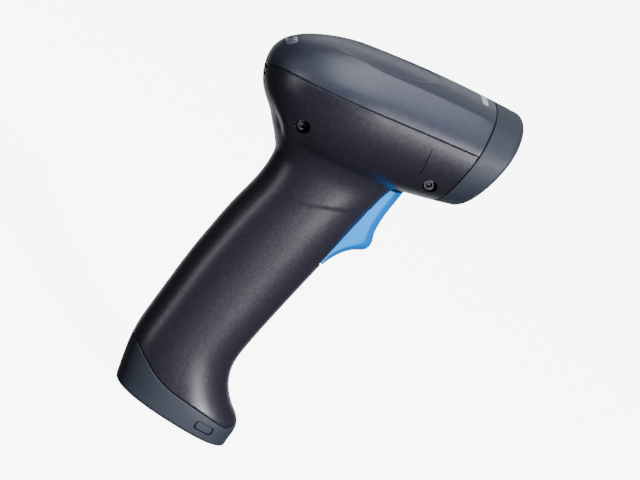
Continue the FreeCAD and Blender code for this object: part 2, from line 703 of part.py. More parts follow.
leds = [box("illumination_led_%d" % k, 1.2, 3.2, 3.2, (54.0, y, 151.6)) for k, y in enumerate(light_places)]
led_set = document.addObject("Part::Compound", "illumination_led_set")
led_set.Links = leds
publish(led_set, "illumination_leds", stand)
light_lenses = [cylinder("illumination_lens_%d" % k, 2.9, 2.4, (54.8, y, 151.6), (1, 0, 0))
                for k, y in enumerate(light_places)]
lens_set = document.addObject("Part::Compound", "illumination_lens_set")
lens_set.Links = light_lenses
publish(lens_set, "illumination_lenses", stand)
flex = prism("engine_flex", [(36.8, 136.0), (36.5, 136.0), (35.2, 141.0), (31.1, 143.9), (31.1, 144.2),
                             (35.4, 141.3), (36.8, 136.6)], 10.0)
publish(flex, "engine_flex_cable", stand)

# ---------------------------------------------------------------- battery and foot electronics (row frame)

cell_x = -7.5
cell_foot = 12.9
cell_length = 65.0
cell_radius = 9.2
cell = cylinder("battery_cell", cell_radius, cell_length, (cell_x, 0, cell_foot), (0, 0, 1))
publish(cell, "battery_cell")
cradle_foot = 10.0
cradle_length = 71.4
cradle_wall = cylinder("cradle_wall", 11.0, cradle_length, (cell_x, 0, cradle_foot), (0, 0, 1))
cradle_bore = cylinder("cradle_bore", 9.5, cradle_length - 2.8, (cell_x, 0, cradle_foot + 1.4), (0, 0, 1))
cradle_front = box("cradle_front", 40.0, 40.0, cradle_length + 4.0,
                   (cell_x + 22.0, 0, cradle_foot + cradle_length / 2.0))
publish(cut("cradle", cradle_wall, cradle_bore, cradle_front), "battery_cradle")
contact_x = cell_x - 2.0
lower_contact_height = cradle_foot + 1.65
upper_contact_height = cell_foot + cell_length + 0.3
publish(box("lower_contact", 6.0, 8.0, 0.5, (contact_x, 0, lower_contact_height)), "battery_contact_lower")
publish(box("upper_contact", 6.0, 8.0, 0.5, (contact_x, 0, upper_contact_height)), "battery_contact_upper")
publish(box("handle_board", 1.2, 12.0, 58.0, (4.6, 0, 45.0)), "handle_board")
foot_board = plate("foot_board", rectangle(20.0, 18.0, (2.4, 0.0)), 1.2)
foot_board.Placement = Placement(Vector(0, 0, 8.6), Rotation())
publish(foot_board, "foot_board")
socket_shell = box("socket_shell", 3.3, 9.0, 7.2, (socket_x, 0, 5.0))
socket_hollow = box("socket_hollow", 2.7, 8.4, 6.6, (socket_x, 0, 4.5))
socket_tongue = box("socket_tongue", 0.7, 6.6, 5.4, (socket_x, 0, 5.3))
publish(fuse("socket", cut("socket_case", socket_shell, socket_hollow), socket_tongue), "charging_socket")
contact_pins = [cylinder("charge_contact_%d" % k, 1.5, 8.3, (x, y, 0.3), (0, 0, 1))
                for k, (x, y) in enumerate(contact_places)]
contact_set = document.addObject("Part::Compound", "charge_contact_set")
contact_set.Links = contact_pins
publish(contact_set, "charge_contacts")

# ---------------------------------------------------------------- checks and export

document.recompute()
for item in document.Objects:
    if "Invalid" in item.State or "Error" in item.State:
        raise RuntimeError("%s failed: %s" % (item.Name, item.State))
os.makedirs("parts", exist_ok=True)
for item, placement in sub_parts:
    if placement is not None:
        item.Placement = placement.multiply(item.Placement)
for item, placement in sub_parts:
    shape = item.Shape
    if shape.isNull() or not shape.isValid():
        raise RuntimeError("%s has no valid shape" % item.Label)
    shape.exportStep("parts/%s.step" % item.Label)
    bounds = shape.BoundBox
    print("%-24s solids %d volume %9.1f  x %6.1f %6.1f  y %6.1f %6.1f  z %6.1f %6.1f"
          % (item.Label, len(shape.Solids), shape.Volume, bounds.XMin, bounds.XMax,
             bounds.YMin, bounds.YMax, bounds.ZMin, bounds.ZMax))
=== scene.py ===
"""Looks of the handheld barcode scanner: the casing is rebuilt as fine meshes from the same
measures as the CAD, in its level-head frame in millimetres, and set in the row frame in metres."""
import json
import math

import bmesh
import bpy
import numpy as np
from mathutils import Matrix, Vector


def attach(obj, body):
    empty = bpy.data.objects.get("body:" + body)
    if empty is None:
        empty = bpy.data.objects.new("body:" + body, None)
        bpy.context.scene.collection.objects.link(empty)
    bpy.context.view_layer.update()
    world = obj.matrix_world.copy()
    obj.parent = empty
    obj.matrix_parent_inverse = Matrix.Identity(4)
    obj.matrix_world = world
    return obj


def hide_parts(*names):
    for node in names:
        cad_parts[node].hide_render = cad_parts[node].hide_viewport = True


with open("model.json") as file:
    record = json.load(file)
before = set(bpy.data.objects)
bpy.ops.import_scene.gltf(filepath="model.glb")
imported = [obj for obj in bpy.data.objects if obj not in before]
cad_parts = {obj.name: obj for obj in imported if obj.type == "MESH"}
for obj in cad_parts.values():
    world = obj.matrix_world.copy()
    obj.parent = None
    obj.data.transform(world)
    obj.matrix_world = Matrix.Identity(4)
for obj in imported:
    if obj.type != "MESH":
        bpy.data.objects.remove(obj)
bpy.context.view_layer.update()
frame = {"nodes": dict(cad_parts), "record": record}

nodes = frame["nodes"]

PITCH = math.radians(10.5)
COS_PITCH, SIN_PITCH = math.cos(PITCH), math.sin(PITCH)
WALL = 2.2

# Half the gap of a seam, of the side seam and of the middle seam, and the radius of the seams' edges.
HALF_GAP, SIDE_GAP, MIDDLE_GAP, EDGE = 0.17, 0.11, 0.1, 0.32
EDGE_STEPS = np.array([0.0, 0.06, 0.15, EDGE, 0.6])

# The head: its axis and rear end, its half-width and its heights above and below the axis, the places
# along it where these are largest, how fast the heights fall ahead of there, and its two end planes.
HEAD_AXIS = 143.7
HEAD_REAR = -21.05
HEAD_WIDTH, HEAD_RISE, HEAD_DROP = 33.0, 19.0, 28.0
WIDTH_CREST, RISE_CREST, DROP_CREST = 25.0, 29.0, 15.0
RISE_FALL, DROP_FALL = 0.00106, 0.0019
TOP_EXPONENT, BOTTOM_EXPONENT = 2.1, 2.2
NOSE_X, NOSE_Z, NOSE_LEAN = 63.2, 146.9, math.tan(math.radians(12.7))
RIM_X, RIM_Z, RIM_LEAN = 77.2, 154.0, math.tan(math.radians(18.0))

# The grip: height, back, front and half-width of its level sections.
GRIP = np.array([
    (-8.0, -23.8, 24.6, 15.0), (0.0, -24.2, 25.8, 15.7), (4.7, -24.4, 26.4, 16.0),
    (7.8, -24.6, 25.2, 16.1), (11.0, -24.9, 22.2, 16.2), (14.4, -25.1, 19.6, 16.3),
    (20.0, -25.3, 16.8, 16.4), (27.2, -24.9, 15.5, 16.4), (36.0, -23.3, 17.0, 16.4),
    (50.2, -20.3, 21.2, 16.5), (62.6, -17.5, 25.2, 16.6), (75.3, -14.0, 29.4, 16.8),
    (87.8, -10.1, 33.4, 17.0), (97.2, -6.6, 36.4, 17.1), (104.0, -4.8, 38.7, 17.2),
    (110.0, -4.1, 40.7, 17.4), (114.6, -4.6, 42.6, 18.0), (119.0, -6.6, 45.0, 19.6),
    (124.0, -9.6, 47.0, 22.0), (129.0, -10.6, 47.8, 22.8), (136.0, -10.8, 48.0, 23.0)])
GRIP_EXPONENT = 2.35
# Seams in side view: cover to lower housing, and lower housing to end cap.
SIDE_SEAM = np.array([(-30.0, 139.0), (-21.0, 143.5), (-16.5, 145.5), (-8.0, 146.7), (15.0, 147.2),
                      (90.0, 146.6)])
CAP_SEAM = np.array([(-34.0, 25.5), (-23.3, 23.5), (-16.5, 18.6), (-11.7, 15.3), (-6.8, 12.9),
                     (1.0, 10.6), (8.8, 8.7), (16.0, 6.6), (20.0, 5.2), (22.4, 4.7), (24.0, 5.6),
                     (25.4, 8.0), (28.0, 13.5)])


# -------------------- curves and surfaces

def to_row(points):
    """Level-head millimetres to row-frame metres."""
    p = np.asarray(points, float)
    x, y, z = p[..., 0], p[..., 1], p[..., 2]
    return np.stack([x * COS_PITCH - z * SIN_PITCH, y, x * SIN_PITCH + z * COS_PITCH], -1) * 0.001


def spline_table(knots, values, count=2000):
    """Smooth curve through points, as a dense table for np.interp."""
    knots = np.asarray(knots, float)
    values = np.asarray(values, float)
    n = len(knots)
    h = np.diff(knots)
    slope = np.diff(values) / h
    system = np.eye(n) * 2.0
    right = np.zeros(n)
    for i in range(1, n - 1):
        system[i, i - 1] = h[i] / (h[i - 1] + h[i])
        system[i, i + 1] = h[i - 1] / (h[i - 1] + h[i])
        right[i] = 3.0 * (system[i, i - 1] * slope[i - 1] + system[i, i + 1] * slope[i])
    system[0, 1] = system[-1, -2] = 1.0
    right[0], right[-1] = 3.0 * slope[0], 3.0 * slope[-1]
    m = np.linalg.solve(system, right)
    at = np.linspace(knots[0], knots[-1], count)
    k = np.clip(np.searchsorted(knots, at) - 1, 0, n - 2)
    t = (at - knots[k]) / h[k]
    out = ((2 * t ** 3 - 3 * t ** 2 + 1) * values[k] + (t ** 3 - 2 * t ** 2 + t) * h[k] * m[k]
           + (3 * t ** 2 - 2 * t ** 3) * values[k + 1] + (t ** 3 - t ** 2) * h[k] * m[k + 1])
    return at, out


GRIP_BACK = spline_table(GRIP[:, 0], GRIP[:, 1])
GRIP_FRONT = spline_table(GRIP[:, 0], GRIP[:, 2])
GRIP_SIDE = spline_table(GRIP[:, 0], GRIP[:, 3])
SIDE_CURVE = spline_table(SIDE_SEAM[:, 0], SIDE_SEAM[:, 1])
CAP_CURVE = spline_table(CAP_SEAM[:, 0], CAP_SEAM[:, 1])


def look_up(at, curve):
    return np.interp(at, curve[0], curve[1])


def smoothstep(low, high, value):
    t = np.clip((value - low) / (high - low), 0.0, 1.0)
    return t * t * (3.0 - 2.0 * t)


def swell(distance, reach, exponent):
    """Quarter of a superellipse, 1 at no distance and 0 at the reach."""
    share = np.clip(distance / reach, 0.0, 1.0)
    return (1.0 - share ** exponent) ** (1.0 / exponent)


def bisect(inside, low, high):
    """Place between low and high where inside, true at low, turns false."""
    for _ in range(40):
        middle = (low + high) / 2
        within = inside(middle)
        low, high = np.where(within, middle, low), np.where(within, high, middle)
    return (low + high) / 2


def full_turn(count):
    return np.linspace(0.0, 2 * math.pi, count, endpoint=False)


def run_lengths(path):
    """Distance along a path to each of its points."""
    return np.concatenate([[0.0], np.cumsum(np.linalg.norm(np.diff(path, axis=0), axis=1))])


def head_sizes(x, inset=0.0):
    """Half-width of the head and its heights above and below the axis."""
    rear = HEAD_REAR + inset
    width = (HEAD_WIDTH - inset) * swell(WIDTH_CREST - x, WIDTH_CREST - rear, 2.4)
    rise = (HEAD_RISE - inset) * swell(RISE_CREST - x, RISE_CREST - rear, 2.4)
    rise = rise - RISE_FALL * np.maximum(0.0, x - RISE_CREST) ** 2
    drop = (HEAD_DROP - inset) * swell(DROP_CREST - x, DROP_CREST - rear, 2.0)
    drop = drop - DROP_FALL * np.maximum(0.0, x - DROP_CREST) ** 2
    return width, rise, drop


def head_half(above, rise, drop):
    """Height and exponent of the head's section, above or below its axis."""
    return np.where(above, rise, drop), np.where(above, TOP_EXPONENT, BOTTOM_EXPONENT)


def head_ring(x, angle, inset=0.0):
    """Y and Z of the head at a place along it; angle 0 is the left side and 90 degrees the top."""
    width, rise, drop = head_sizes(x, inset)
    across, up = np.cos(angle), np.sin(angle)
    height, n = head_half(up >= 0, rise, drop)
    radius = ((np.abs(across) / np.maximum(width, 1e-3)) ** n
              + (np.abs(up) / np.maximum(height, 1e-3)) ** n) ** (-1.0 / n)
    return radius * across, HEAD_AXIS + radius * up


def ring_on(rule, angle, inset=0.0, start=NOSE_X):
    """Loop of the head, inset, where its X follows a rule of its height."""
    x = np.full_like(angle, start)
    for _ in range(14):
        y, z = head_ring(x, angle, inset)
        x = rule(z)
    return np.stack([x, y, z], -1)


def head_gauge(p):
    """Below 1 inside the head and above 1 outside it."""
    width, rise, drop = head_sizes(p[..., 0])
    dz = p[..., 2] - HEAD_AXIS
    height, n = head_half(dz >= 0, rise, drop)
    return ((np.abs(p[..., 1]) / np.maximum(width, 0.4)) ** n
            + (np.abs(dz) / np.maximum(height, 0.4)) ** n) ** (1.0 / n)


def grip_sizes(z):
    """Middle, half-depth and half-width of the grip at a height."""
    back, front = look_up(z, GRIP_BACK), look_up(z, GRIP_FRONT)
    return (back + front) / 2.0, (front - back) / 2.0, look_up(z, GRIP_SIDE)


def grip_gauge(p, inset=0.0):
    centre, half_depth, half_width = grip_sizes(p[..., 2])
    n = GRIP_EXPONENT
    return ((np.abs(p[..., 0] - centre) / (half_depth - inset)) ** n
            + (np.abs(p[..., 1]) / (half_width - inset)) ** n) ** (1.0 / n)


def slopes(function, p, step=0.02):
    parts = []
    for axis in range(3):
        shift = np.zeros(3)
        shift[axis] = step
        parts.append((function(p + shift) - function(p - shift)) / (2 * step))
    return np.stack(parts, -1)


def distance(function, p):
    """First-order distance to the surface where a gauge is 1."""
    return (function(p) - 1.0) / np.maximum(np.linalg.norm(slopes(function, p), axis=-1), 1e-5)


def body_distance(p):
    """Head and grip joined by a fillet that is tight at the sides and broad at the back."""
    radius = 2.4 + 6.6 * smoothstep(6.0, -9.0, p[..., 0])
    head = np.maximum(distance(head_gauge, p), HEAD_AXIS - HEAD_DROP - p[..., 2])
    grip = distance(grip_gauge, p)
    u, v = np.maximum(radius - head, 0.0), np.maximum(radius - grip, 0.0)
    return np.maximum(radius, np.minimum(head, grip)) - np.hypot(u, v)


def valley(p):
    """Narrow valley where the grip meets the sides of the head."""
    gap = distance(head_gauge, p) - distance(grip_gauge, p)
    return 0.45 * np.exp(-(gap / 1.3) ** 2) * smoothstep(-7.0, 2.0, p[..., 0])


def outward(function, p):
    """Unit normals of a gauge."""
    g = slopes(function, p)
    return g / np.maximum(np.linalg.norm(g, axis=-1, keepdims=True), 1e-9)


def rounding(s, edge=EDGE):
    """How far a rounded edge falls away at a distance s from it."""
    t = np.clip(1.0 - s / edge, 0.0, 1.0)
    return edge * (1.0 - np.sqrt(1.0 - t * t))


# -------------------- mesh building

SMOOTH_ANGLE = 40.0


def grid_faces(rows, cols, start=0, wrap=False):
    faces = []
    for i in range(rows - 1):
        for j in range(cols if wrap else cols - 1):
            a, b = start + i * cols + j, start + i * cols + (j + 1) % cols
            faces.append((a, b, b + cols, a + cols))
    return faces


def add_object(name, data):
    obj = bpy.data.objects.new(name, data)
    bpy.context.scene.collection.objects.link(obj)
    return obj


def make_object(name, points, faces, smooth_angle=SMOOTH_ANGLE):
    """Mesh object in the row frame, with its normals outward and its sharp edges marked."""
    mesh = bpy.data.meshes.new(name)
    mesh.from_pydata(points.reshape(-1, 3).tolist(), [], faces)
    obj = add_object(name, mesh)
    tidy_mesh(obj, smooth_angle)
    return obj


def tidy_mesh(obj, smooth_angle):
    bm = bmesh.new()
    bm.from_mesh(obj.data)
    bmesh.ops.remove_doubles(bm, verts=bm.verts, dist=2e-6)
    bmesh.ops.dissolve_degenerate(bm, edges=bm.edges, dist=1e-7)
    bmesh.ops.recalc_face_normals(bm, faces=bm.faces)
    bm.to_mesh(obj.data)
    bm.free()
    obj.data.shade_smooth()
    obj.data.set_sharp_from_angle(angle=math.radians(smooth_angle))


def thick_patch(name, outer, inner):
    """Closed shell between an outer and an inner grid of level-head points."""
    rows, cols = outer.shape[:2]
    count = rows * cols
    border = ([(0, j) for j in range(cols)] + [(i, cols - 1) for i in range(1, rows)]
              + [(rows - 1, j) for j in range(cols - 2, -1, -1)] + [(i, 0) for i in range(rows - 2, 0, -1)])
    index = [i * cols + j for i, j in border]
    faces = grid_faces(rows, cols) + [f[::-1] for f in grid_faces(rows, cols, count)]
    for a, b in zip(index, index[1:] + index[:1]):
        faces.append((b, a, a + count, b + count))
    return make_object(name, to_row(np.concatenate([outer.reshape(-1, 3), inner.reshape(-1, 3)])), faces)


def ring_solid(name, rings):
    """Closed ring: a list of sections, each a loop of level-head points round the axis."""
    rings = np.asarray(rings)
    rows, cols = rings.shape[:2]
    last = (rows - 1) * cols
    closing = [(last + j, last + (j + 1) % cols, (j + 1) % cols, j) for j in range(cols)]
    return make_object(name, to_row(rings), grid_faces(rows, cols, wrap=True) + closing)


def stack_solid(name, rings, smooth_angle=SMOOTH_ANGLE):
    """Closed solid from a stack of loops, with its first and last loops filled."""
    rings = np.asarray(rings)
    rows, cols = rings.shape[:2]
    faces = grid_faces(rows, cols, wrap=True)
    faces.append(tuple(range(cols))[::-1])
    faces.append(tuple((rows - 1) * cols + j for j in range(cols)))
    return make_object(name, to_row(rings), faces, smooth_angle)


def carve(obj, cutters, smooth_angle=SMOOTH_ANGLE):
    """Takes the cutters away from obj and deletes them."""
    for cutter in cutters:
        modifier = obj.modifiers.new("carve", "BOOLEAN")
        modifier.operation = "DIFFERENCE"
        modifier.solver = "EXACT"
        modifier.object = cutter
    bpy.context.view_layer.update()
    graph = bpy.context.evaluated_depsgraph_get()
    mesh = bpy.data.meshes.new_from_object(obj.evaluated_get(graph))
    obj.modifiers.clear()
    obj.data = mesh
    tidy_mesh(obj, smooth_angle)
    for cutter in cutters:
        bpy.data.objects.remove(cutter)


def rounded_outline(half_length, half_height, radius):
    """Rounded rectangle about the origin, with its sides divided about every millimetre."""
    corner_steps = 7
    points = []
    for cx, cy, start in ((1, 1, 0), (-1, 1, 90), (-1, -1, 180), (1, -1, 270)):
        for k in range(corner_steps + 1):
            angle = math.radians(start + 90.0 * k / corner_steps)
            points.append((cx * (half_length - radius) + radius * math.cos(angle),
                           cy * (half_height - radius) + radius * math.sin(angle)))
    dense = []
    for a, b in zip(points, points[1:] + points[:1]):
        count = max(1, int(math.dist(a, b)))
        dense += [(a[0] + (b[0] - a[0]) * k / count, a[1] + (b[1] - a[1]) * k / count)
                  for k in range(count)]
    return np.array(dense)


def side_patch(name, outline, centre, turn, surface, side, depths, edge=0.0, rings=5):
    """Solid plate that follows the side of the casing. outline is about centre in X and Z, turned;
    surface gives |y|; side is -1 right or 1 left; depths are how far its two faces are sunk."""
    cos_turn, sin_turn = math.cos(turn), math.sin(turn)
    loops = []
    shares = np.linspace(0.0, 1.0, rings + 1)[1:]

    def loop(share, depth, trim=0.0):
        shape = outline * share * (1.0 - trim / np.maximum(np.abs(outline).max(), 1e-6))
        x = centre[0] + shape[:, 0] * cos_turn + shape[:, 1] * sin_turn
        z = centre[1] - shape[:, 0] * sin_turn + shape[:, 1] * cos_turn
        y = surface(x, z) - depth
        return np.stack([x, side * y, z], -1)

    for share in shares:
        loops.append(loop(share, depths[0], edge if share == 1.0 else 0.0))
    if edge:
        loops.append(loop(1.0, depths[0] + edge * 0.3, edge * 0.3))
        loops.append(loop(1.0, depths[0] + edge))
    for share in shares[::-1]:
        loops.append(loop(share, depths[1]))
    return stack_solid(name, loops, smooth_angle=60.0)


def head_side(x, z):
    """|y| of the head's surface in side view."""
    width, rise, drop = head_sizes(x)
    dz = z - HEAD_AXIS
    height, n = head_half(dz >= 0, rise, drop)
    return width * np.maximum(1.0 - (np.abs(dz) / height) ** n, 0.0) ** (1.0 / n)


def grip_side(x, z):
    centre, half_depth, half_width = grip_sizes(z)
    share = np.clip(np.abs(x - centre) / half_depth, 0.0, 1.0)
    return half_width * (1.0 - share ** GRIP_EXPONENT) ** (1.0 / GRIP_EXPONENT)


# -------------------- surface features

def ridge(p):
    """Soft crease line that runs forward along each shoulder of the head."""
    x, y = p[..., 0], np.abs(p[..., 1])
    line = 12.5 + 7.3 * smoothstep(-6.0, 24.0, x)
    strength = 0.55 * smoothstep(-8.0, 14.0, x) * (1.0 - smoothstep(60.0, 75.5, x))
    return strength * np.clip(1.0 - np.abs(y - line) / 9.0, 0.0, 1.0) ** 2 * (p[..., 2] > HEAD_AXIS)


def dish(p):
    """Shallow leaf-shaped hollow on top of the head, which ends in a step at the front."""
    x, y = p[..., 0], np.abs(p[..., 1])
    q = np.hypot((x - 20.0) / 23.5, y / 17.0)
    floor = np.clip((1.0 - q) / 0.05, 0.0, 1.0)
    return 0.75 * floor * smoothstep(-3.0, 16.0, x) * (p[..., 2] > HEAD_AXIS)


def heel(p):
    """Slight hollow low at the back of the head."""
    x, z = p[..., 0], p[..., 2]
    middle = 1.0 - smoothstep(14.0, 22.0, np.abs(p[..., 1]))
    return 2.3 * np.exp(-((z - 123.8) / 7.0) ** 2) * smoothstep(-2.5, -9.0, x) * middle


def scallop(p):
    """Faint crease across the upper grip, proud above and sunk below."""
    x, z = p[..., 0], p[..., 2]
    below = 98.0 + (x + 1.6) * 8.3 / 35.9 - z
    proud = 0.07 * smoothstep(-9.0, 0.0, below) * (below < 0)
    sunk = -0.11 * (1.0 - smoothstep(0.0, 15.0, below)) * smoothstep(0.0, 1.2, below) * (below >= 0)
    step = 0.07 * (1.0 - smoothstep(0.0, 1.2, below)) * (below >= 0)
    fade = smoothstep(-4.5, 5.0, x)
    return (proud + sunk + step) * fade


# For each seam: the points of an edge, their normals, and their directions across the seam.
SEAM_EDGES = {}


def keep_edge(label, base, normal, row, step):
    """Keeps one edge of a grid for the seam's liner. step is a row a little further in."""
    tangent = base[row] - base[step]
    tangent /= np.linalg.norm(tangent, axis=-1, keepdims=True)
    SEAM_EDGES[label] = (base[row], normal[row], tangent)


# -------------------- top cover

def nose_plane(z, back=0.0):
    return NOSE_X - back + (z - NOSE_Z) * NOSE_LEAN


def tilted_head(x_level, angle):
    """Points of the head whose rings lean forward step by step until they meet the nose plane."""
    lean_from = 20.0
    lean = NOSE_LEAN * np.clip((x_level - lean_from) / (NOSE_X - lean_from), 0.0, 1.0)
    x = x_level + 0.0 * angle
    for _ in range(8):
        _, z = head_ring(x, angle)
        x = x_level + lean * (z - NOSE_Z)
    y, z = head_ring(x, angle)
    return np.stack([x, y, z], -1)


def seam_angle(x_level):
    """Ring angle where the head crosses the side seam."""
    def under(angle):
        p = tilted_head(x_level, angle)
        return p[..., 2] < look_up(p[..., 0], SIDE_CURVE) + SIDE_GAP

    return bisect(under, np.zeros_like(x_level), np.full_like(x_level, math.pi / 2))


def make_cover():
    """Top cover: rows run from rear to front, and columns from the left seam to the right one."""
    tau = np.radians(90.0 * np.linspace(0.012, 1.0, 74) ** 1.15)
    rear_rows = HEAD_REAR + (WIDTH_CREST - HEAD_REAR) * (1.0 - np.cos(tau))
    front_end = NOSE_X - HALF_GAP
    front_rows = np.linspace(WIDTH_CREST, front_end - EDGE_STEPS[-1], 62)[1:]
    rows = np.concatenate([rear_rows, front_rows, front_end - EDGE_STEPS[::-1][1:]])
    start = seam_angle(rows)
    width = head_sizes(rows)[0]
    turn_radius = np.maximum(width, 2.5)
    edge_angles = np.minimum(EDGE_STEPS[:-1] / turn_radius[:, None],
                             0.1 * (math.pi - 2 * start)[:, None] * np.arange(4) / 4)
    begin = start + EDGE_STEPS[-1] / turn_radius
    middle = begin[:, None] + (math.pi - 2 * begin)[:, None] * np.linspace(0.0, 1.0, 191)
    angles = np.concatenate([start[:, None] + edge_angles, middle,
                             math.pi - start[:, None] - edge_angles[:, ::-1]], 1)
    base = tilted_head(rows[:, None] + 0 * angles, angles)
    normal = outward(head_gauge, base)
    to_seam = np.minimum(angles - start[:, None], math.pi - start[:, None] - angles) * width[:, None]
    to_nose = np.broadcast_to((front_end - rows)[:, None], to_seam.shape)
    fall = np.maximum(rounding(to_seam), rounding(to_nose))
    outer = base + normal * (ridge(base) - dish(base) - fall)[..., None]
    inside = base - normal * WALL
    inside[..., 2] = np.maximum(inside[..., 2], look_up(inside[..., 0], SIDE_CURVE) + SIDE_GAP)
    keep_edge("nose", base, normal, -1, -4)
    pole = np.array([HEAD_REAR, 0.0, HEAD_AXIS + 0.3])
    outer = np.concatenate([np.broadcast_to(pole, (1,) + outer.shape[1:]), outer])
    inside = np.concatenate([np.broadcast_to(pole + [WALL, 0, 0.8], (1,) + inside.shape[1:]), inside])
    return thick_patch("top_cover_shell", outer, inside)


# -------------------- lower housing

def axis_x(z):
    """Middle line that the half-planes of the lower housing turn about."""
    return -4.0 + (z - 20.0) * 0.22


def half_plane(azimuth, rho, z):
    """Point at a distance from the middle line, in the half-plane at an azimuth."""
    return np.stack([axis_x(z) + rho * np.cos(azimuth), rho * np.sin(azimuth), z], -1)


def grip_radius(azimuth, z, inset=0.0):
    """Distance from the middle line to the grip, inset."""
    return bisect(lambda rho: grip_gauge(half_plane(azimuth, rho, z), inset) < 1.0,
                  np.zeros_like(azimuth), np.full_like(azimuth, 70.0))


def trace(azimuth, start_z, direction, stop):
    """Walks along the body's surface in every half-plane at once, up or down, until stop is passed."""
    stride, most_strides, e = 0.8, 300, 0.02

    def value(r, h):
        return body_distance(half_plane(azimuth, r, h))

    def gradient(r, h):
        return np.stack([(value(r + e, h) - value(r - e, h)) / (2 * e),
                         (value(r, h + e) - value(r, h - e)) / (2 * e)], -1)

    z = np.full_like(azimuth, start_z)
    rho = grip_radius(azimuth, z)
    heading = np.stack([np.zeros_like(rho), np.full_like(rho, direction)], -1)
    track = [half_plane(azimuth, rho, z)]
    passed = np.zeros(len(azimuth), bool)
    ends = np.zeros(len(azimuth), int)
    for count in range(1, most_strides):
        g = gradient(rho, z)
        tangent = np.stack([-g[:, 1], g[:, 0]], -1)
        tangent /= np.linalg.norm(tangent, axis=-1, keepdims=True)
        tangent *= np.where((tangent * heading).sum(-1, keepdims=True) < 0, -1.0, 1.0)
        heading = tangent
        rho, z = rho + tangent[:, 0] * stride, z + tangent[:, 1] * stride
        for _ in range(2):
            g = gradient(rho, z)
            scale = value(rho, z) / np.maximum((g ** 2).sum(-1), 1e-6)
            rho, z = rho - g[:, 0] * scale, z - g[:, 1] * scale
        track.append(half_plane(azimuth, rho, z))
        over = stop(track[-1])
        ends[over & ~passed] = count
        passed |= over
        if passed.all():
            break
    track = np.array(track)
    paths = []
    for k, end in enumerate(ends):
        a, b = track[end - 1, k], track[end, k]
        for _ in range(30):
            m = (a + b) / 2
            a, b = (a, m) if stop(m[None])[0] else (m, b)
        paths.append(np.concatenate([track[:end, k], ((a + b) / 2)[None]]))
    return paths


def top_stop(p):
    over_seam = p[..., 2] > look_up(p[..., 0], SIDE_CURVE) - SIDE_GAP
    return over_seam | (p[..., 0] > nose_plane(p[..., 2], HALF_GAP))


def cap_stop(p):
    return p[..., 2] < look_up(p[..., 0], CAP_CURVE) + HALF_GAP


def nose_azimuths(count):
    """Azimuths of points evenly spaced along the nose seam, from the bottom to its widest place."""
    edge = ring_on(lambda z: nose_plane(z, HALF_GAP), np.radians(np.linspace(-90.0, 15.0, 1500)))
    azimuth = np.arctan2(edge[:, 1], edge[:, 0] - axis_x(edge[:, 2]))
    widest = int(np.argmax(azimuth))
    run = run_lengths(edge)[:widest + 1]
    return np.interp(np.linspace(0.0, run[-1], count), run, azimuth[:widest + 1])


def front_corner():
    """Corner of the lower housing between the side seam and the nose seam."""
    z = NOSE_Z
    for _ in range(20):
        x = nose_plane(z, HALF_GAP)
        z = float(look_up(x, SIDE_CURVE)) - SIDE_GAP
    return np.array([x, float(head_side(np.array(x), np.array(z))), z])


def make_lower_half():
    """Outer and inner grids of the left half: rows run down, columns from front to back."""
    start_z, rows_above_neck, rows_below_neck = 100.0, 66, 150
    front = nose_azimuths(52)
    azimuth = np.concatenate([front[:-1], np.linspace(front[-1] + 1e-4, math.pi, 140)])
    azimuth[0], azimuth[-1] = 1e-6, math.pi - 1e-6
    up = trace(azimuth, start_z, 1.0, top_stop)
    up[len(front) - 1][-1] = front_corner()
    down = trace(azimuth, start_z, -1.0, cap_stop)
    columns, falls = [], []
    for rise_path, fall_path in zip(up, down):
        whole = np.concatenate([rise_path[::-1], fall_path[1:]])
        s = run_lengths(whole)
        total = s[-1]
        neck = s[np.argmax(distance(head_gauge, whole) - distance(grip_gauge, whole) > 0)]
        marks = np.concatenate([
            EDGE_STEPS[:-1], np.linspace(EDGE_STEPS[-1], neck, rows_above_neck),
            np.linspace(neck, total - EDGE_STEPS[-1], rows_below_neck)[1:], total - EDGE_STEPS[::-1][1:]])
        columns.append(np.stack([np.interp(marks, s, whole[:, k]) for k in range(3)], -1))
        falls.append(np.minimum(marks, total - marks))
    base, to_edge = refine_sides(np.stack(columns, 1), np.stack(falls, 1))
    normal = outward(body_distance, base)
    keep_edge("top", base, normal, 0, 3)
    keep_edge("cap", base, normal, -1, -4)
    to_middle = np.abs(base[..., 1]) - MIDDLE_GAP
    fall = np.maximum(rounding(to_edge), rounding(to_middle, 0.25))
    outer = base + normal * (scallop(base) - valley(base) - heel(base) - fall)[..., None]
    inner = base - normal * (WALL + heel(base))[..., None]
    for grid in (outer, inner):
        grid[..., 1] = np.maximum(grid[..., 1], MIDDLE_GAP)
    return outer, inner


def refine_sides(base, to_edge):
    """Replaces the columns next to the middle plane by fine ones for its rounded edge."""
    targets = (MIDDLE_GAP, 0.15, 0.22, 0.35)
    for _ in range(2):
        near, far = base[:, 0], base[:, 2]
        fine = [near + (far - near) * (target / far[:, 1])[:, None] for target in targets]
        base = np.concatenate([np.stack(fine, 1), base[:, 2:]], 1)
        to_edge = np.concatenate([np.repeat(to_edge[:, :1], len(targets), 1), to_edge[:, 2:]], 1)
        base, to_edge = base[:, ::-1], to_edge[:, ::-1]
    return base, to_edge


# The light pipe: a point on its axis, its direction, half its straight length, and the end radii of
# its lens and of its hole.
PIPE_FOOT = np.array([-11.9, 0.0, 148.6])
PIPE_AXIS = np.array([-0.55, 0.0, 0.835])
PIPE_REACH, PIPE_RADIUS, PIPE_HOLE = 4.3, 2.5, 2.65


def pipe_loop(radius):
    """Rounded bar across the light pipe's axis, as offsets from the axis."""
    angle = full_turn(56)[:, None]
    side, other = np.array([0.0, 1.0, 0.0]), np.cross(PIPE_AXIS, [0.0, 1.0, 0.0])
    reach = PIPE_REACH * np.sign(np.cos(angle))
    return (radius * np.cos(angle) + reach) * side + radius * np.sin(angle) * other


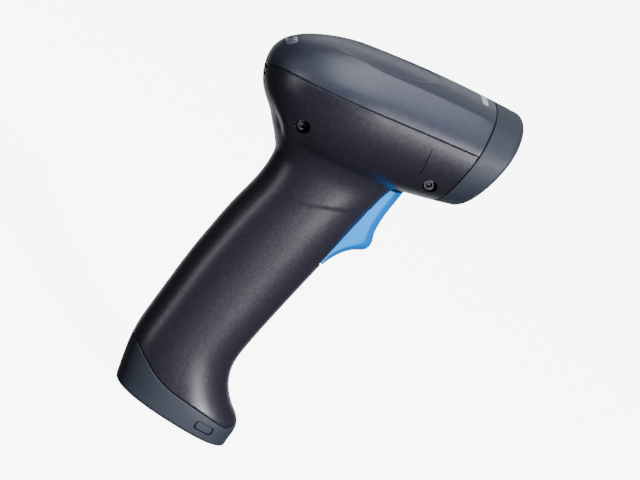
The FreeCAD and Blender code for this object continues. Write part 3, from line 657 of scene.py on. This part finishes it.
def make_light_pipe():
    """Smoky lens of the light pipe: a rounded bar whose outer face follows the head, slightly domed."""
    def loop(radius, lift):
        start = PIPE_FOOT + pipe_loop(radius)
        height = bisect(lambda up: head_gauge(start + PIPE_AXIS * up[:, None]) < 1.0,
                        np.zeros(len(start)), np.full(len(start), 20.0))
        return start + PIPE_AXIS * (height + lift)[:, None]

    sizes = ((0.9, -2.6), (PIPE_RADIUS, -2.6), (PIPE_RADIUS, -0.5), (PIPE_RADIUS, -0.22), (2.4, -0.05),
             (2.2, 0.04), (1.8, 0.12), (1.2, 0.2), (0.4, 0.24))
    return stack_solid("light_pipe_lens", [loop(*size) for size in sizes], smooth_angle=50.0)


def across(outline, places):
    """Loops of an outline in X and Z at places across the middle plane."""
    outline = np.asarray(outline, float)
    return [np.stack([outline[:, 0], np.full(len(outline), y), outline[:, 1]], -1) for y in places]


def prism(name, outline, half_width):
    """Outline in X and Z, extruded evenly to both sides of the middle plane."""
    return stack_solid(name, across(outline, (-half_width, half_width)))


def across_cylinder(name, centre, radius, y_from, y_to):
    angle = full_turn(48)
    outline = np.stack([centre[0] + radius * np.cos(angle), centre[1] + radius * np.sin(angle)], -1)
    return stack_solid(name, across(outline, (y_from, y_to)))


SLOT_OUTLINE = [(26.0, 77.6), (32.0, 77.2), (52.0, 96.0), (52.0, 118.0), (38.0, 116.6),
                (28.0, 116.3), (27.0, 100.0)]
SLOT_HALF = 8.3
VENT_HEIGHTS, VENT_SHAPE = (136.4, 139.0, 141.6), (8.0, 0.6, 0.55)
LABEL_PLACE, LABEL_SHAPE, LABEL_DEPTH = (25.6, 137.3), (20.5, 6.0, 0.8), 0.35
# X and Z of each side screw, and |y| of its seat.
SCREW_PLACES = [(-0.9, 129.9, 20.2), (51.8, 128.1, 22.6)]
SCREW_HOLE, WELL_OUTER, WELL_INNER, SCREW_BORE = 2.9, 3.7, 2.93, 1.6


def make_housings():
    """Left and right halves with trigger slot and vents, and on the right screw holes and label."""
    outer, inner = make_lower_half()
    halves = []
    for name, sign in (("grip_shell_left", 1), ("grip_shell_right", -1)):
        flip = np.array([1.0, sign, 1.0])
        half = thick_patch(name, outer * flip, inner * flip)
        cutters = [prism("slot_cutter", SLOT_OUTLINE, SLOT_HALF)]
        for z in VENT_HEIGHTS:
            shape = rounded_outline(*VENT_SHAPE)
            loops = [np.stack([np.full(len(shape), x), shape[:, 0], shape[:, 1] + z], -1)
                     for x in (-26.0, -12.0)]
            cutters.append(stack_solid("vent_cutter", loops))
        if sign < 0:
            for x, z, _ in SCREW_PLACES:
                cutters.append(across_cylinder("screw_cutter", (x, z), SCREW_HOLE, -40.0, -12.0))
            cutters.append(side_patch("label_cutter", rounded_outline(*LABEL_SHAPE), LABEL_PLACE, 0.0,
                                      head_side, sign, (LABEL_DEPTH, -3.0), rings=12))
        carve(half, cutters)
        halves.append(half)
    return halves


def make_screw_wells():
    """Tubes that line the screw recesses, from just under the casing surface to the screw seat."""
    wells = []
    angle = full_turn(64)
    for number, (x, z, seat) in enumerate(SCREW_PLACES):
        loops = []
        for radius, depth, y in ((WELL_OUTER, 0.8, 0), (WELL_OUTER, 0, seat - 2.0), (SCREW_BORE, 0, seat - 2.0),
                                 (SCREW_BORE, 0, seat - 0.05), (WELL_INNER, 0, seat - 0.05),
                                 (WELL_INNER, 0.8, 0)):
            at_x, at_z = x + radius * np.cos(angle), z + radius * np.sin(angle)
            at_y = head_side(at_x, at_z) - depth if depth else np.full(len(angle), y)
            loops.append(np.stack([at_x, -at_y, at_z], -1))
        wells.append(ring_solid("screw_well_%d" % number, loops))
    return wells


def make_liner(name, edge, normal, tangent):
    """Strip just inside a seam, which closes the view through it. The edge runs along the seam, and
    tangent points from the piece that carries the strip across the seam."""
    near, deep, kept_side, far_side = 2.35, 3.4, -1.5, 1.7
    corners = ((near, kept_side), (near, far_side), (deep, far_side), (deep, kept_side))
    loops = [edge - normal * depth + tangent * reach for depth, reach in corners]
    return stack_solid(name, np.stack(loops, 1))


# -------------------- end cap

def foot_z(x):
    """Height of the foot plane in the level-head frame."""
    return -x * SIN_PITCH / COS_PITCH


LATCH_PLACE = (13.6, 2.7)
# Openings in the foot, in the row frame, and the heights between which they are cut.
SOCKET_OUTLINE = [(7.25, -4.6), (10.75, -4.6), (10.75, 4.6), (7.25, 4.6)]
CONTACT_PLACES, CONTACT_RADIUS = ((-4.0, -7.0), (-4.0, 7.0)), 1.6
CUT_HEIGHTS = (-3.0, 5.0)


def make_end_cap():
    """End cap, from the middle of its foot round its rim to the middle of its floor inside."""
    azimuth = full_turn(240)
    corner, floor_height, touch = 1.3, 2.6, 1e-4

    def level_ring(inset, rule):
        """Loop of the grip, inset, where its height follows a rule of X."""
        z = np.full_like(azimuth, 8.0)
        for _ in range(25):
            rho = grip_radius(azimuth, z, inset)
            x = axis_x(z) + rho * np.cos(azimuth)
            z = 0.5 * z + 0.5 * rule(x)
        return np.stack([x, rho * np.sin(azimuth), z], -1)

    def foot(height):
        return lambda x: foot_z(x) + height

    def mixed(share, base):
        return lambda x: (look_up(x, CAP_CURVE) - HALF_GAP) * share + (foot_z(x) + base) * (1.0 - share)

    bottom = level_ring(corner, foot(0.0))
    middle = bottom.mean(0)
    rings = [middle + (bottom - middle) * share for share in (0.0, 0.35, 0.7)]
    for degrees in (90, 72, 54, 36, 18, 0):
        a = math.radians(degrees)
        rings.append(level_ring(corner * (1 - math.cos(a)) + touch, foot(corner * (1 - math.sin(a)))))
    for share in np.linspace(0.03, 0.95, 24):
        rings.append(level_ring(touch, mixed(share, corner)))
    for s in EDGE_STEPS[::-1][1:]:
        rings.append(level_ring(float(rounding(s)) + touch,
                                lambda x, s=s: look_up(x, CAP_CURVE) - HALF_GAP - s))
    for share in (1.0, 0.5, 0.0):
        rings.append(level_ring(WALL, mixed(share, floor_height)))
    floor = rings[-1]
    rings += [floor.mean(0) + (floor - floor.mean(0)) * share for share in (0.6, 0.0)]
    rings = np.array(rings)
    cap = make_object("end_cap_shell", to_row(rings), grid_faces(*rings.shape[:2], wrap=True))
    cutters = [side_patch("latch_cutter", rounded_outline(4.0, 1.8, 1.2), LATCH_PLACE, PITCH,
                          grip_side, side, (3.5, -3.0)) for side in (1, -1)]
    cutters.append(row_prism_cutter("socket_cutter", SOCKET_OUTLINE, *CUT_HEIGHTS))
    round_hole = CONTACT_RADIUS * np.stack([np.cos(full_turn(36)), np.sin(full_turn(36))], -1)
    for place in CONTACT_PLACES:
        cutters.append(row_prism_cutter("contact_cutter", round_hole + place, *CUT_HEIGHTS))
    carve(cap, cutters)
    return cap


def row_prism_cutter(name, outline, low, high):
    """Outline in the row frame, in millimetres, extruded upward."""
    count = len(outline)
    points = np.concatenate([np.column_stack([outline, np.full(count, z)]) for z in (low, high)]) * 0.001
    faces = grid_faces(2, count, wrap=True) + [tuple(range(count))[::-1], tuple(range(count, 2 * count))]
    return make_object(name, points, faces)


# -------------------- nose bezel

def rim_plane(z):
    return RIM_X + (z - RIM_Z) * RIM_LEAN


def between_planes(share, inset, angle):
    """Loop of the head, inset, on a plane between the nose seam (0) and the rim (1)."""
    return ring_on(lambda z: (1 - share) * nose_plane(z) + share * rim_plane(z), angle, inset)


def behind_rim(depth, inset, angle):
    """Loop of the head, inset, at a depth behind the rim."""
    slant = math.cos(math.atan(RIM_LEAN))
    points = ring_on(lambda z: rim_plane(z) - depth / slant, angle, inset, RIM_X)
    return points + outward(head_gauge, points) * ridge(points)[..., None]


def make_bezel():
    """Bezel, from the nose seam over the rim and the window seat back to the seam inside."""
    angle = full_turn(320)
    rim, lip, seat, bore = 2.3, 0.9, 4.8, 2.8
    length = (RIM_X - NOSE_X) * 0.98

    def outside(share, fall=0.0):
        ring = between_planes(share, 0.0, angle)
        return ring + outward(head_gauge, ring) * (ridge(ring) - fall)[..., None]

    rings = [outside((HALF_GAP + s) / length, rounding(s)) for s in EDGE_STEPS]
    rings += [outside(share) for share in np.linspace(0.08, 0.80, 16)]
    for a in np.radians(np.linspace(0, 90, 12)):
        rings.append(behind_rim(rim * (1 - math.sin(a)), rim * (1 - math.cos(a)), angle))
    for a in np.radians(np.linspace(15, 90, 5)):
        rings.append(behind_rim(lip * (1 - math.cos(a)), rim + lip * math.sin(a), angle))
    for depth, inset in ((3.0, seat), (5.55, seat), (5.6, bore), (9.0, bore)):
        rings.append(behind_rim(depth, inset, angle))
    rings.append(between_planes(HALF_GAP / length, bore, angle))
    return ring_solid("nose_bezel_shell", rings)


# -------------------- trigger

TRIGGER_FRONT = np.array([(30.6, 78.2), (32.2, 80.9), (34.7, 84.3), (37.5, 87.0), (40.5, 88.7), (43.1, 89.9),
                          (44.6, 92.6), (44.1, 96.5), (44.1, 100.5), (44.8, 105.5), (46.0, 110.5),
                          (47.6, 116.9)])
# Line that the rounded sides of the trigger draw in towards, point for point with its front.
TRIGGER_CORE = np.array([(29.9, 80.0), (30.0, 82.6), (32.2, 86.6), (35.0, 89.6), (37.2, 91.6), (38.4, 93.0),
                         (39.2, 94.6), (39.4, 97.2), (39.6, 101.0), (40.3, 106.0), (41.5, 111.0),
                         (43.0, 116.4)])
TRIGGER_BACK = np.array([(38.0, 116.0), (33.0, 113.6), (29.4, 111.0), (29.4, 106.0), (29.9, 95.0),
                         (27.6, 79.6)])
TRIGGER_HALF, TRIGGER_FLAT = 7.9, 0.3
PIN_PLACE, PIN_BORE = (33.0, 110.0), 1.25
TRIGGER_SMOOTH_ANGLE = 32.0


def make_trigger():
    """Trigger, rounded towards its sides, with its hollow and pin bore, and its switch arm."""
    lengths = run_lengths(TRIGGER_FRONT)
    at = np.linspace(0.0, lengths[-1], 101)
    front, core = (np.stack([look_up(at, spline_table(lengths, line[:, k])) for k in range(2)], -1)
                   for line in (TRIGGER_FRONT, TRIGGER_CORE))
    back = [a + (b - a) * k / 6 for a, b in zip(TRIGGER_BACK[:-1], TRIGGER_BACK[1:]) for k in range(6)]
    back = np.array(back + [TRIGGER_BACK[-1]])
    loops = []
    for share in np.sin(np.radians(np.linspace(-90, 90, 57))):
        fall = 1.0 - swell(max(abs(share) - TRIGGER_FLAT, 0.0), 1.0 - TRIGGER_FLAT, 1.55)
        outline = np.concatenate([front + (core - front) * (0.9 * fall), back])
        loops += across(outline, (TRIGGER_HALF * share,))
    body = stack_solid("trigger_shell", loops, TRIGGER_SMOOTH_ANGLE)
    hollow = prism("trigger_hollow_cutter", [(20.0, 81.4), (29.6, 81.4), (31.6, 85.0), (36.0, 90.0),
                                             (39.4, 93.4), (39.6, 104.6), (20.0, 104.6)], 5.6)
    bore = across_cylinder("pin_cutter", PIN_PLACE, PIN_BORE, -10.0, 10.0)
    carve(body, [hollow, bore], TRIGGER_SMOOTH_ANGLE)
    arm_outline = [(27.6, 98.9), (28.4, 98.8), (40.4, 98.8), (40.4, 101.2), (28.4, 101.2), (27.6, 101.1),
                   (27.0, 100.6), (27.0, 99.4)]
    return body, prism("trigger_arm", arm_outline, 1.5)


# -------------------- materials

# Bumps from coarse or fine noise, as (scale, detail, strength, height in metres).
FINE = [(2600.0, 2.0, 0.30, 0.00006), (700.0, 2.0, 0.10, 0.00006)]
SATIN = [(2400.0, 2.0, 0.10, 0.00004), (500.0, 2.0, 0.05, 0.00006)]
SMOOTH = [(300.0, 2.0, 0.04, 0.00004)]
POLISHED = [(300.0, 2.0, 0.04, 0.00002)]


def new_material(name):
    material = bpy.data.materials.new(name)
    material.use_nodes = True
    tree = material.node_tree
    shader = next(n for n in tree.nodes if n.type == "BSDF_PRINCIPLED")
    return material, tree, shader


def set_inputs(node, values):
    for label, value in values.items():
        node.inputs[label].default_value = value


def noise(tree, scale, detail, rough=0.5, coords=None):
    node = tree.nodes.new("ShaderNodeTexNoise")
    set_inputs(node, {"Scale": scale, "Detail": detail, "Roughness": rough})
    if coords is None:
        coords = tree.nodes.new("ShaderNodeTexCoord").outputs["Object"]
    tree.links.new(coords, node.inputs["Vector"])
    return node.outputs["Fac"]


def ramp(tree, source, low, high, stops=(0.3, 0.7)):
    node = tree.nodes.new("ShaderNodeValToRGB")
    for element, stop, colour in zip(node.color_ramp.elements, stops, (low, high)):
        element.position = stop
        element.color = (*colour, 1.0)
    tree.links.new(source, node.inputs["Fac"])
    return node.outputs["Color"]


def span(tree, source, low, high):
    node = tree.nodes.new("ShaderNodeMapRange")
    set_inputs(node, {"From Min": 0.3, "From Max": 0.7, "To Min": low, "To Max": high})
    tree.links.new(source, node.inputs["Value"])
    return node.outputs["Result"]


def bump(tree, shader, layers):
    """Chain of bumps over the shader's normal."""
    previous = None
    coords = tree.nodes.new("ShaderNodeTexCoord").outputs["Object"]
    for scale, detail, strength, height in layers:
        node = tree.nodes.new("ShaderNodeBump")
        set_inputs(node, {"Strength": strength, "Distance": height})
        tree.links.new(noise(tree, scale, detail, 0.55, coords), node.inputs["Height"])
        if previous is not None:
            tree.links.new(previous, node.inputs["Normal"])
        previous = node.outputs["Normal"]
    tree.links.new(previous, shader.inputs["Normal"])


def mottled(name, low, high, rough, tone, wear, layers):
    """Material whose colour and roughness vary a little. tone and wear are (scale, detail) of noise."""
    material, tree, shader = new_material(name)
    tree.links.new(ramp(tree, noise(tree, *tone), low, high), shader.inputs["Base Color"])
    tree.links.new(span(tree, noise(tree, *wear), *rough), shader.inputs["Roughness"])
    bump(tree, shader, layers)
    return material, shader


def plastic(name, low, high, rough, layers, specular=0.5, speck=900.0):
    material, shader = mottled(name, low, high, rough, (speck, 3.0), (speck * 0.35, 4.0), layers)
    set_inputs(shader, {"Specular IOR Level": specular})
    return material


def metal(name, low, high, rough):
    material, shader = mottled(name, low, high, rough, (600.0, 3.0), (300.0, 4.0), SMOOTH)
    set_inputs(shader, {"Metallic": 1.0})
    return material


def clear(name, low, high, rough, transmission, ior=1.49):
    material, shader = mottled(name, low, high, rough, (250.0, 2.0), (500.0, 3.0), POLISHED)
    set_inputs(shader, {"Transmission Weight": transmission, "IOR": ior})
    return material


def gloss_with_painted_edge_shade(name, facing, turned_away_shade):
    """Glossy plastic with painted shade: its colour darkens where the surface turns away from the camera."""
    material, tree, shader = new_material(name)
    weight = tree.nodes.new("ShaderNodeLayerWeight")
    set_inputs(weight, {"Blend": 0.5})
    # painted shade: the facing weight moves the base colour to the darker colour at grazing angles
    tree.links.new(ramp(tree, weight.outputs["Facing"], facing, turned_away_shade, (0.06, 0.32)),
                   shader.inputs["Base Color"])
    tree.links.new(span(tree, noise(tree, 120.0, 4.0), 0.28, 0.34), shader.inputs["Roughness"])
    set_inputs(shader, {"Specular IOR Level": 0.15})
    bump(tree, shader, SMOOTH)
    return material


MATERIALS = {
    "cover_black": plastic("cover_satin", (0.013, 0.015, 0.026), (0.017, 0.020, 0.032), (0.34, 0.40), SATIN),
    "casing_black": plastic("casing_fine_texture", (0.006, 0.0055, 0.009), (0.013, 0.012, 0.019),
                            (0.31, 0.39), FINE, 0.5, 2400.0),
    "bumper_grey": plastic("bumper_matt", (0.012, 0.016, 0.024), (0.016, 0.021, 0.030), (0.55, 0.65),
                           FINE, 0.35, 1800.0),
    # trigger blue with painted shade: the colour darkens towards the second colour where the surface turns away
    # from the camera
    "trigger_blue": gloss_with_painted_edge_shade("trigger_blue_gloss", (0.0, 0.19, 0.54), (0.0, 0.09, 0.32)),
    "window_clear": clear("window_tinted", (0.050, 0.035, 0.040), (0.065, 0.045, 0.050), (0.03, 0.06), 0.7),
    "optic_clear": clear("optic_glass", (0.86, 0.9, 0.94), (0.92, 0.95, 0.98), (0.02, 0.05), 0.95, 1.52),
    "light_pipe_clear": clear("light_pipe_smoke", (0.10, 0.10, 0.13), (0.14, 0.14, 0.18), (0.16, 0.24), 0.2),
    "gasket_black": plastic("gasket_foam", (0.008, 0.008, 0.009), (0.016, 0.016, 0.017), (0.85, 0.95),
                            FINE, 0.2),
    "steel": metal("screw_steel", (0.05, 0.05, 0.06), (0.10, 0.10, 0.12), (0.22, 0.34)),
    "socket_steel": metal("socket_steel", (0.50, 0.50, 0.52), (0.66, 0.66, 0.68), (0.25, 0.38)),
    "contact_gold": metal("contact_gold", (0.72, 0.50, 0.18), (0.86, 0.62, 0.26), (0.18, 0.30)),
    "board_green": plastic("board_solder_mask", (0.008, 0.075, 0.030), (0.012, 0.11, 0.045), (0.28, 0.4),
                           SMOOTH, 0.5, 300.0),
    "chip_black": plastic("chip_epoxy", (0.012, 0.012, 0.013), (0.024, 0.024, 0.026), (0.5, 0.65), FINE, 0.4),
    "switch_button": plastic("switch_button", (0.20, 0.05, 0.03), (0.26, 0.07, 0.04), (0.35, 0.5), SMOOTH),
    "connector_cream": plastic("connector_cream", (0.52, 0.46, 0.34), (0.60, 0.54, 0.42), (0.4, 0.55), SMOOTH),
    "shield_tin": metal("shield_tin", (0.55, 0.55, 0.54), (0.68, 0.68, 0.66), (0.3, 0.45)),
    "engine_black": plastic("engine_black", (0.010, 0.010, 0.012), (0.020, 0.020, 0.022), (0.4, 0.55),
                            FINE, 0.4),
    "aimer_brass": metal("aimer_brass", (0.62, 0.44, 0.16), (0.74, 0.54, 0.24), (0.2, 0.34)),
    "led_white": plastic("led_white", (0.70, 0.68, 0.55), (0.82, 0.80, 0.66), (0.3, 0.45), SMOOTH),
    "flex_amber": plastic("flex_amber", (0.34, 0.15, 0.03), (0.44, 0.20, 0.05), (0.3, 0.45), SMOOTH),
    "cell_wrap": plastic("cell_wrap", (0.10, 0.25, 0.16), (0.13, 0.30, 0.19), (0.3, 0.4), SMOOTH),
    "cradle_black": plastic("cradle_black", (0.014, 0.014, 0.016), (0.024, 0.024, 0.026), (0.5, 0.6),
                            FINE, 0.4),
}
PRINT_WHITE = plastic("mark_print", (0.70, 0.72, 0.74), (0.80, 0.81, 0.83), (0.4, 0.5), SMOOTH)

for part in frame["record"]["subparts"]:
    slots = nodes[part["node"]].material_slots
    if slots:
        slots[0].material = MATERIALS[part["material_slot"]]


def finish_piece(piece, body, slot, replaced=(), material=None):
    piece.data.materials.clear()
    piece.data.materials.append(material or MATERIALS[slot])
    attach(piece, body)
    if replaced:
        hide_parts(*replaced)


# -------------------- pieces

cover = make_cover()
pipe_hole = [PIPE_FOOT + PIPE_AXIS * reach + pipe_loop(PIPE_HOLE) for reach in (2.0, 20.0)]
carve(cover, [stack_solid("pipe_cutter", pipe_hole)])
finish_piece(cover, "scanner", "cover_black", ("upper_housing",))
finish_piece(make_light_pipe(), "scanner", "light_pipe_clear", ("status_light_pipe",))

left_half, right_half = make_housings()
finish_piece(left_half, "scanner", "casing_black", ("housing_left",))
finish_piece(right_half, "scanner", "casing_black", ("housing_right",))
for well in make_screw_wells():
    finish_piece(well, "scanner", "casing_black")
for label, (edge, normals, across_seam) in SEAM_EDGES.items():
    for side, flip in (("left", 1.0), ("right", -1.0)):
        if label == "nose" and flip < 0:
            continue
        mirror = np.array([1.0, flip, 1.0])
        liner = make_liner("seam_liner_%s_%s" % (label, side),
                           edge * mirror, normals * mirror, across_seam * mirror)
        finish_piece(liner, "scanner", "gasket_black")

finish_piece(make_end_cap(), "scanner", "bumper_grey", ("end_cap",))
for side, label in ((1, "left"), (-1, "right")):
    tab = side_patch("latch_tab_" + label, rounded_outline(3.6, 1.45, 0.95), LATCH_PLACE, PITCH, grip_side,
                     side, (0.12, 1.9), edge=0.3)
    finish_piece(tab, "scanner", "bumper_grey")

finish_piece(make_bezel(), "scanner", "bumper_grey", ("nose_bezel",))

trigger_body, trigger_arm = make_trigger()
finish_piece(trigger_body, "trigger", "trigger_blue", ("trigger",))
finish_piece(trigger_arm, "trigger", "trigger_blue")

# Generic printed mark on top of the nose: plain bars of different widths.
MARK_WIDTHS = (0.6, 0.35, 0.8, 0.35, 0.6, 0.9, 0.35)
MARK_REAR, MARK_FRONT, MARK_GAP = 60.2, 62.6, 1.5
bar_y = -6.6
for number, bar_width in enumerate(MARK_WIDTHS):
    grid_x, grid_y = np.meshgrid(np.linspace(MARK_REAR, MARK_FRONT, 7),
                                 np.linspace(bar_y, bar_y + bar_width, 4), indexing="ij")
    angle = np.arccos(np.clip(grid_y / HEAD_WIDTH, -1, 1))
    for _ in range(12):
        y, z = head_ring(grid_x, angle)
        angle = angle + (y - grid_y) / HEAD_WIDTH
    base = np.stack([grid_x, grid_y, z], -1)
    normal = outward(head_gauge, base)
    bar = thick_patch("top_mark_bar_%d" % number, base + normal * (ridge(base) + 0.04)[..., None],
                      base + normal * (ridge(base) - 0.1)[..., None])
    finish_piece(bar, "scanner", "cover_black", material=PRINT_WHITE)
    bar_y += bar_width + MARK_GAP

# -------------------- floor, lights and camera

AIM = Vector((0.0102, 0.0, 0.0893))
CAMERA_DISTANCE = 1.365
VIEW_TURN, VIEW_HEIGHT, PICTURE_ROLL = math.radians(8.0), math.radians(14.0), math.radians(24.6)
FLOOR_REACH = 8.0


def turned(x, y, z):
    """Unit vector in the row frame along a direction of the level-head frame."""
    return Vector((x * COS_PITCH - z * SIN_PITCH, y, x * SIN_PITCH + z * COS_PITCH)).normalized()


cos_turn, sin_turn = math.cos(VIEW_TURN), math.sin(VIEW_TURN)
cos_height, sin_height = math.cos(VIEW_HEIGHT), math.sin(VIEW_HEIGHT)
back_axis = turned(-sin_turn * cos_height, -cos_turn * cos_height, sin_height)
level_right = turned(cos_turn, -sin_turn, 0.0)
level_up = turned(sin_turn * sin_height, cos_turn * sin_height, cos_height)
right_axis = (level_right * math.cos(PICTURE_ROLL) + level_up * math.sin(PICTURE_ROLL)).normalized()
up_axis = back_axis.cross(right_axis).normalized()

camera_data = bpy.data.cameras.new("camera")
camera_data.lens = 200.0
camera_data.sensor_width = 36.0
camera = add_object("camera", camera_data)
bpy.context.scene.camera = camera
camera.matrix_world = (Matrix.Translation(AIM + back_axis * CAMERA_DISTANCE)
                       @ Matrix((right_axis, up_axis, back_axis)).transposed().to_4x4())

floor_mesh = bpy.data.meshes.new("floor")
floor_mesh.from_pydata([(x * FLOOR_REACH, y * FLOOR_REACH, 0) for x, y in ((-1, -1), (1, -1), (1, 1), (-1, 1))],
                       [], [(0, 1, 2, 3)])
floor = add_object("floor", floor_mesh)
floor.location.z = -0.0004
floor_material, _, floor_shader = new_material("floor_pale")
set_inputs(floor_shader, {
    "Base Color": (0.86, 0.86, 0.87, 1.0), "Roughness": 0.9, "Specular IOR Level": 0.1,
    "Emission Color": (1.0, 1.0, 1.0, 1.0), "Emission Strength": 7.0})
floor_mesh.materials.append(floor_material)
floor.visible_glossy = False
floor.visible_diffuse = False

world = bpy.data.worlds.new("studio")
bpy.context.scene.world = world
world.use_nodes = True
background = next(n for n in world.node_tree.nodes if n.type == "BACKGROUND")
set_inputs(background, {"Color": (0.80, 0.84, 0.92, 1.0), "Strength": 0.08})


def softbox(name, right, up, back, width, height, power, colour):
    """Area light placed by its offset from the object along the camera's axes, aimed at the object."""
    data = bpy.data.lights.new(name, "AREA")
    data.shape = "RECTANGLE"
    data.size, data.size_y = width, height
    data.energy = power
    data.color = colour
    lamp = add_object(name, data)
    lamp.location = AIM + level_right * right + level_up * up + back_axis * back
    lamp.rotation_mode = "QUATERNION"
    lamp.rotation_quaternion = (AIM - lamp.location).to_track_quat("-Z", "Y")
    lamp.visible_camera = False


softbox("top_box", -0.05, 0.93, 0.20, 1.1, 0.45, 9.0, (0.86, 0.91, 1.0))
softbox("key_box", 0.66, 0.05, 0.91, 0.16, 0.9, 50.0, (0.97, 0.95, 1.0))
softbox("rear_strip", -0.94, 0.05, 0.56, 0.20, 0.9, 3.5, (0.92, 0.94, 1.0))
softbox("fill_box", -0.75, 0.75, 0.60, 1.3, 1.3, 4.0, (0.95, 0.95, 1.0))
softbox("back_box", 0.1, 0.7, -1.0, 1.0, 0.4, 1.6, (0.88, 0.93, 1.0))
softbox("back_fill", 0.0, -0.15, -1.3, 1.4, 1.0, 5.0, (0.92, 0.95, 1.0))
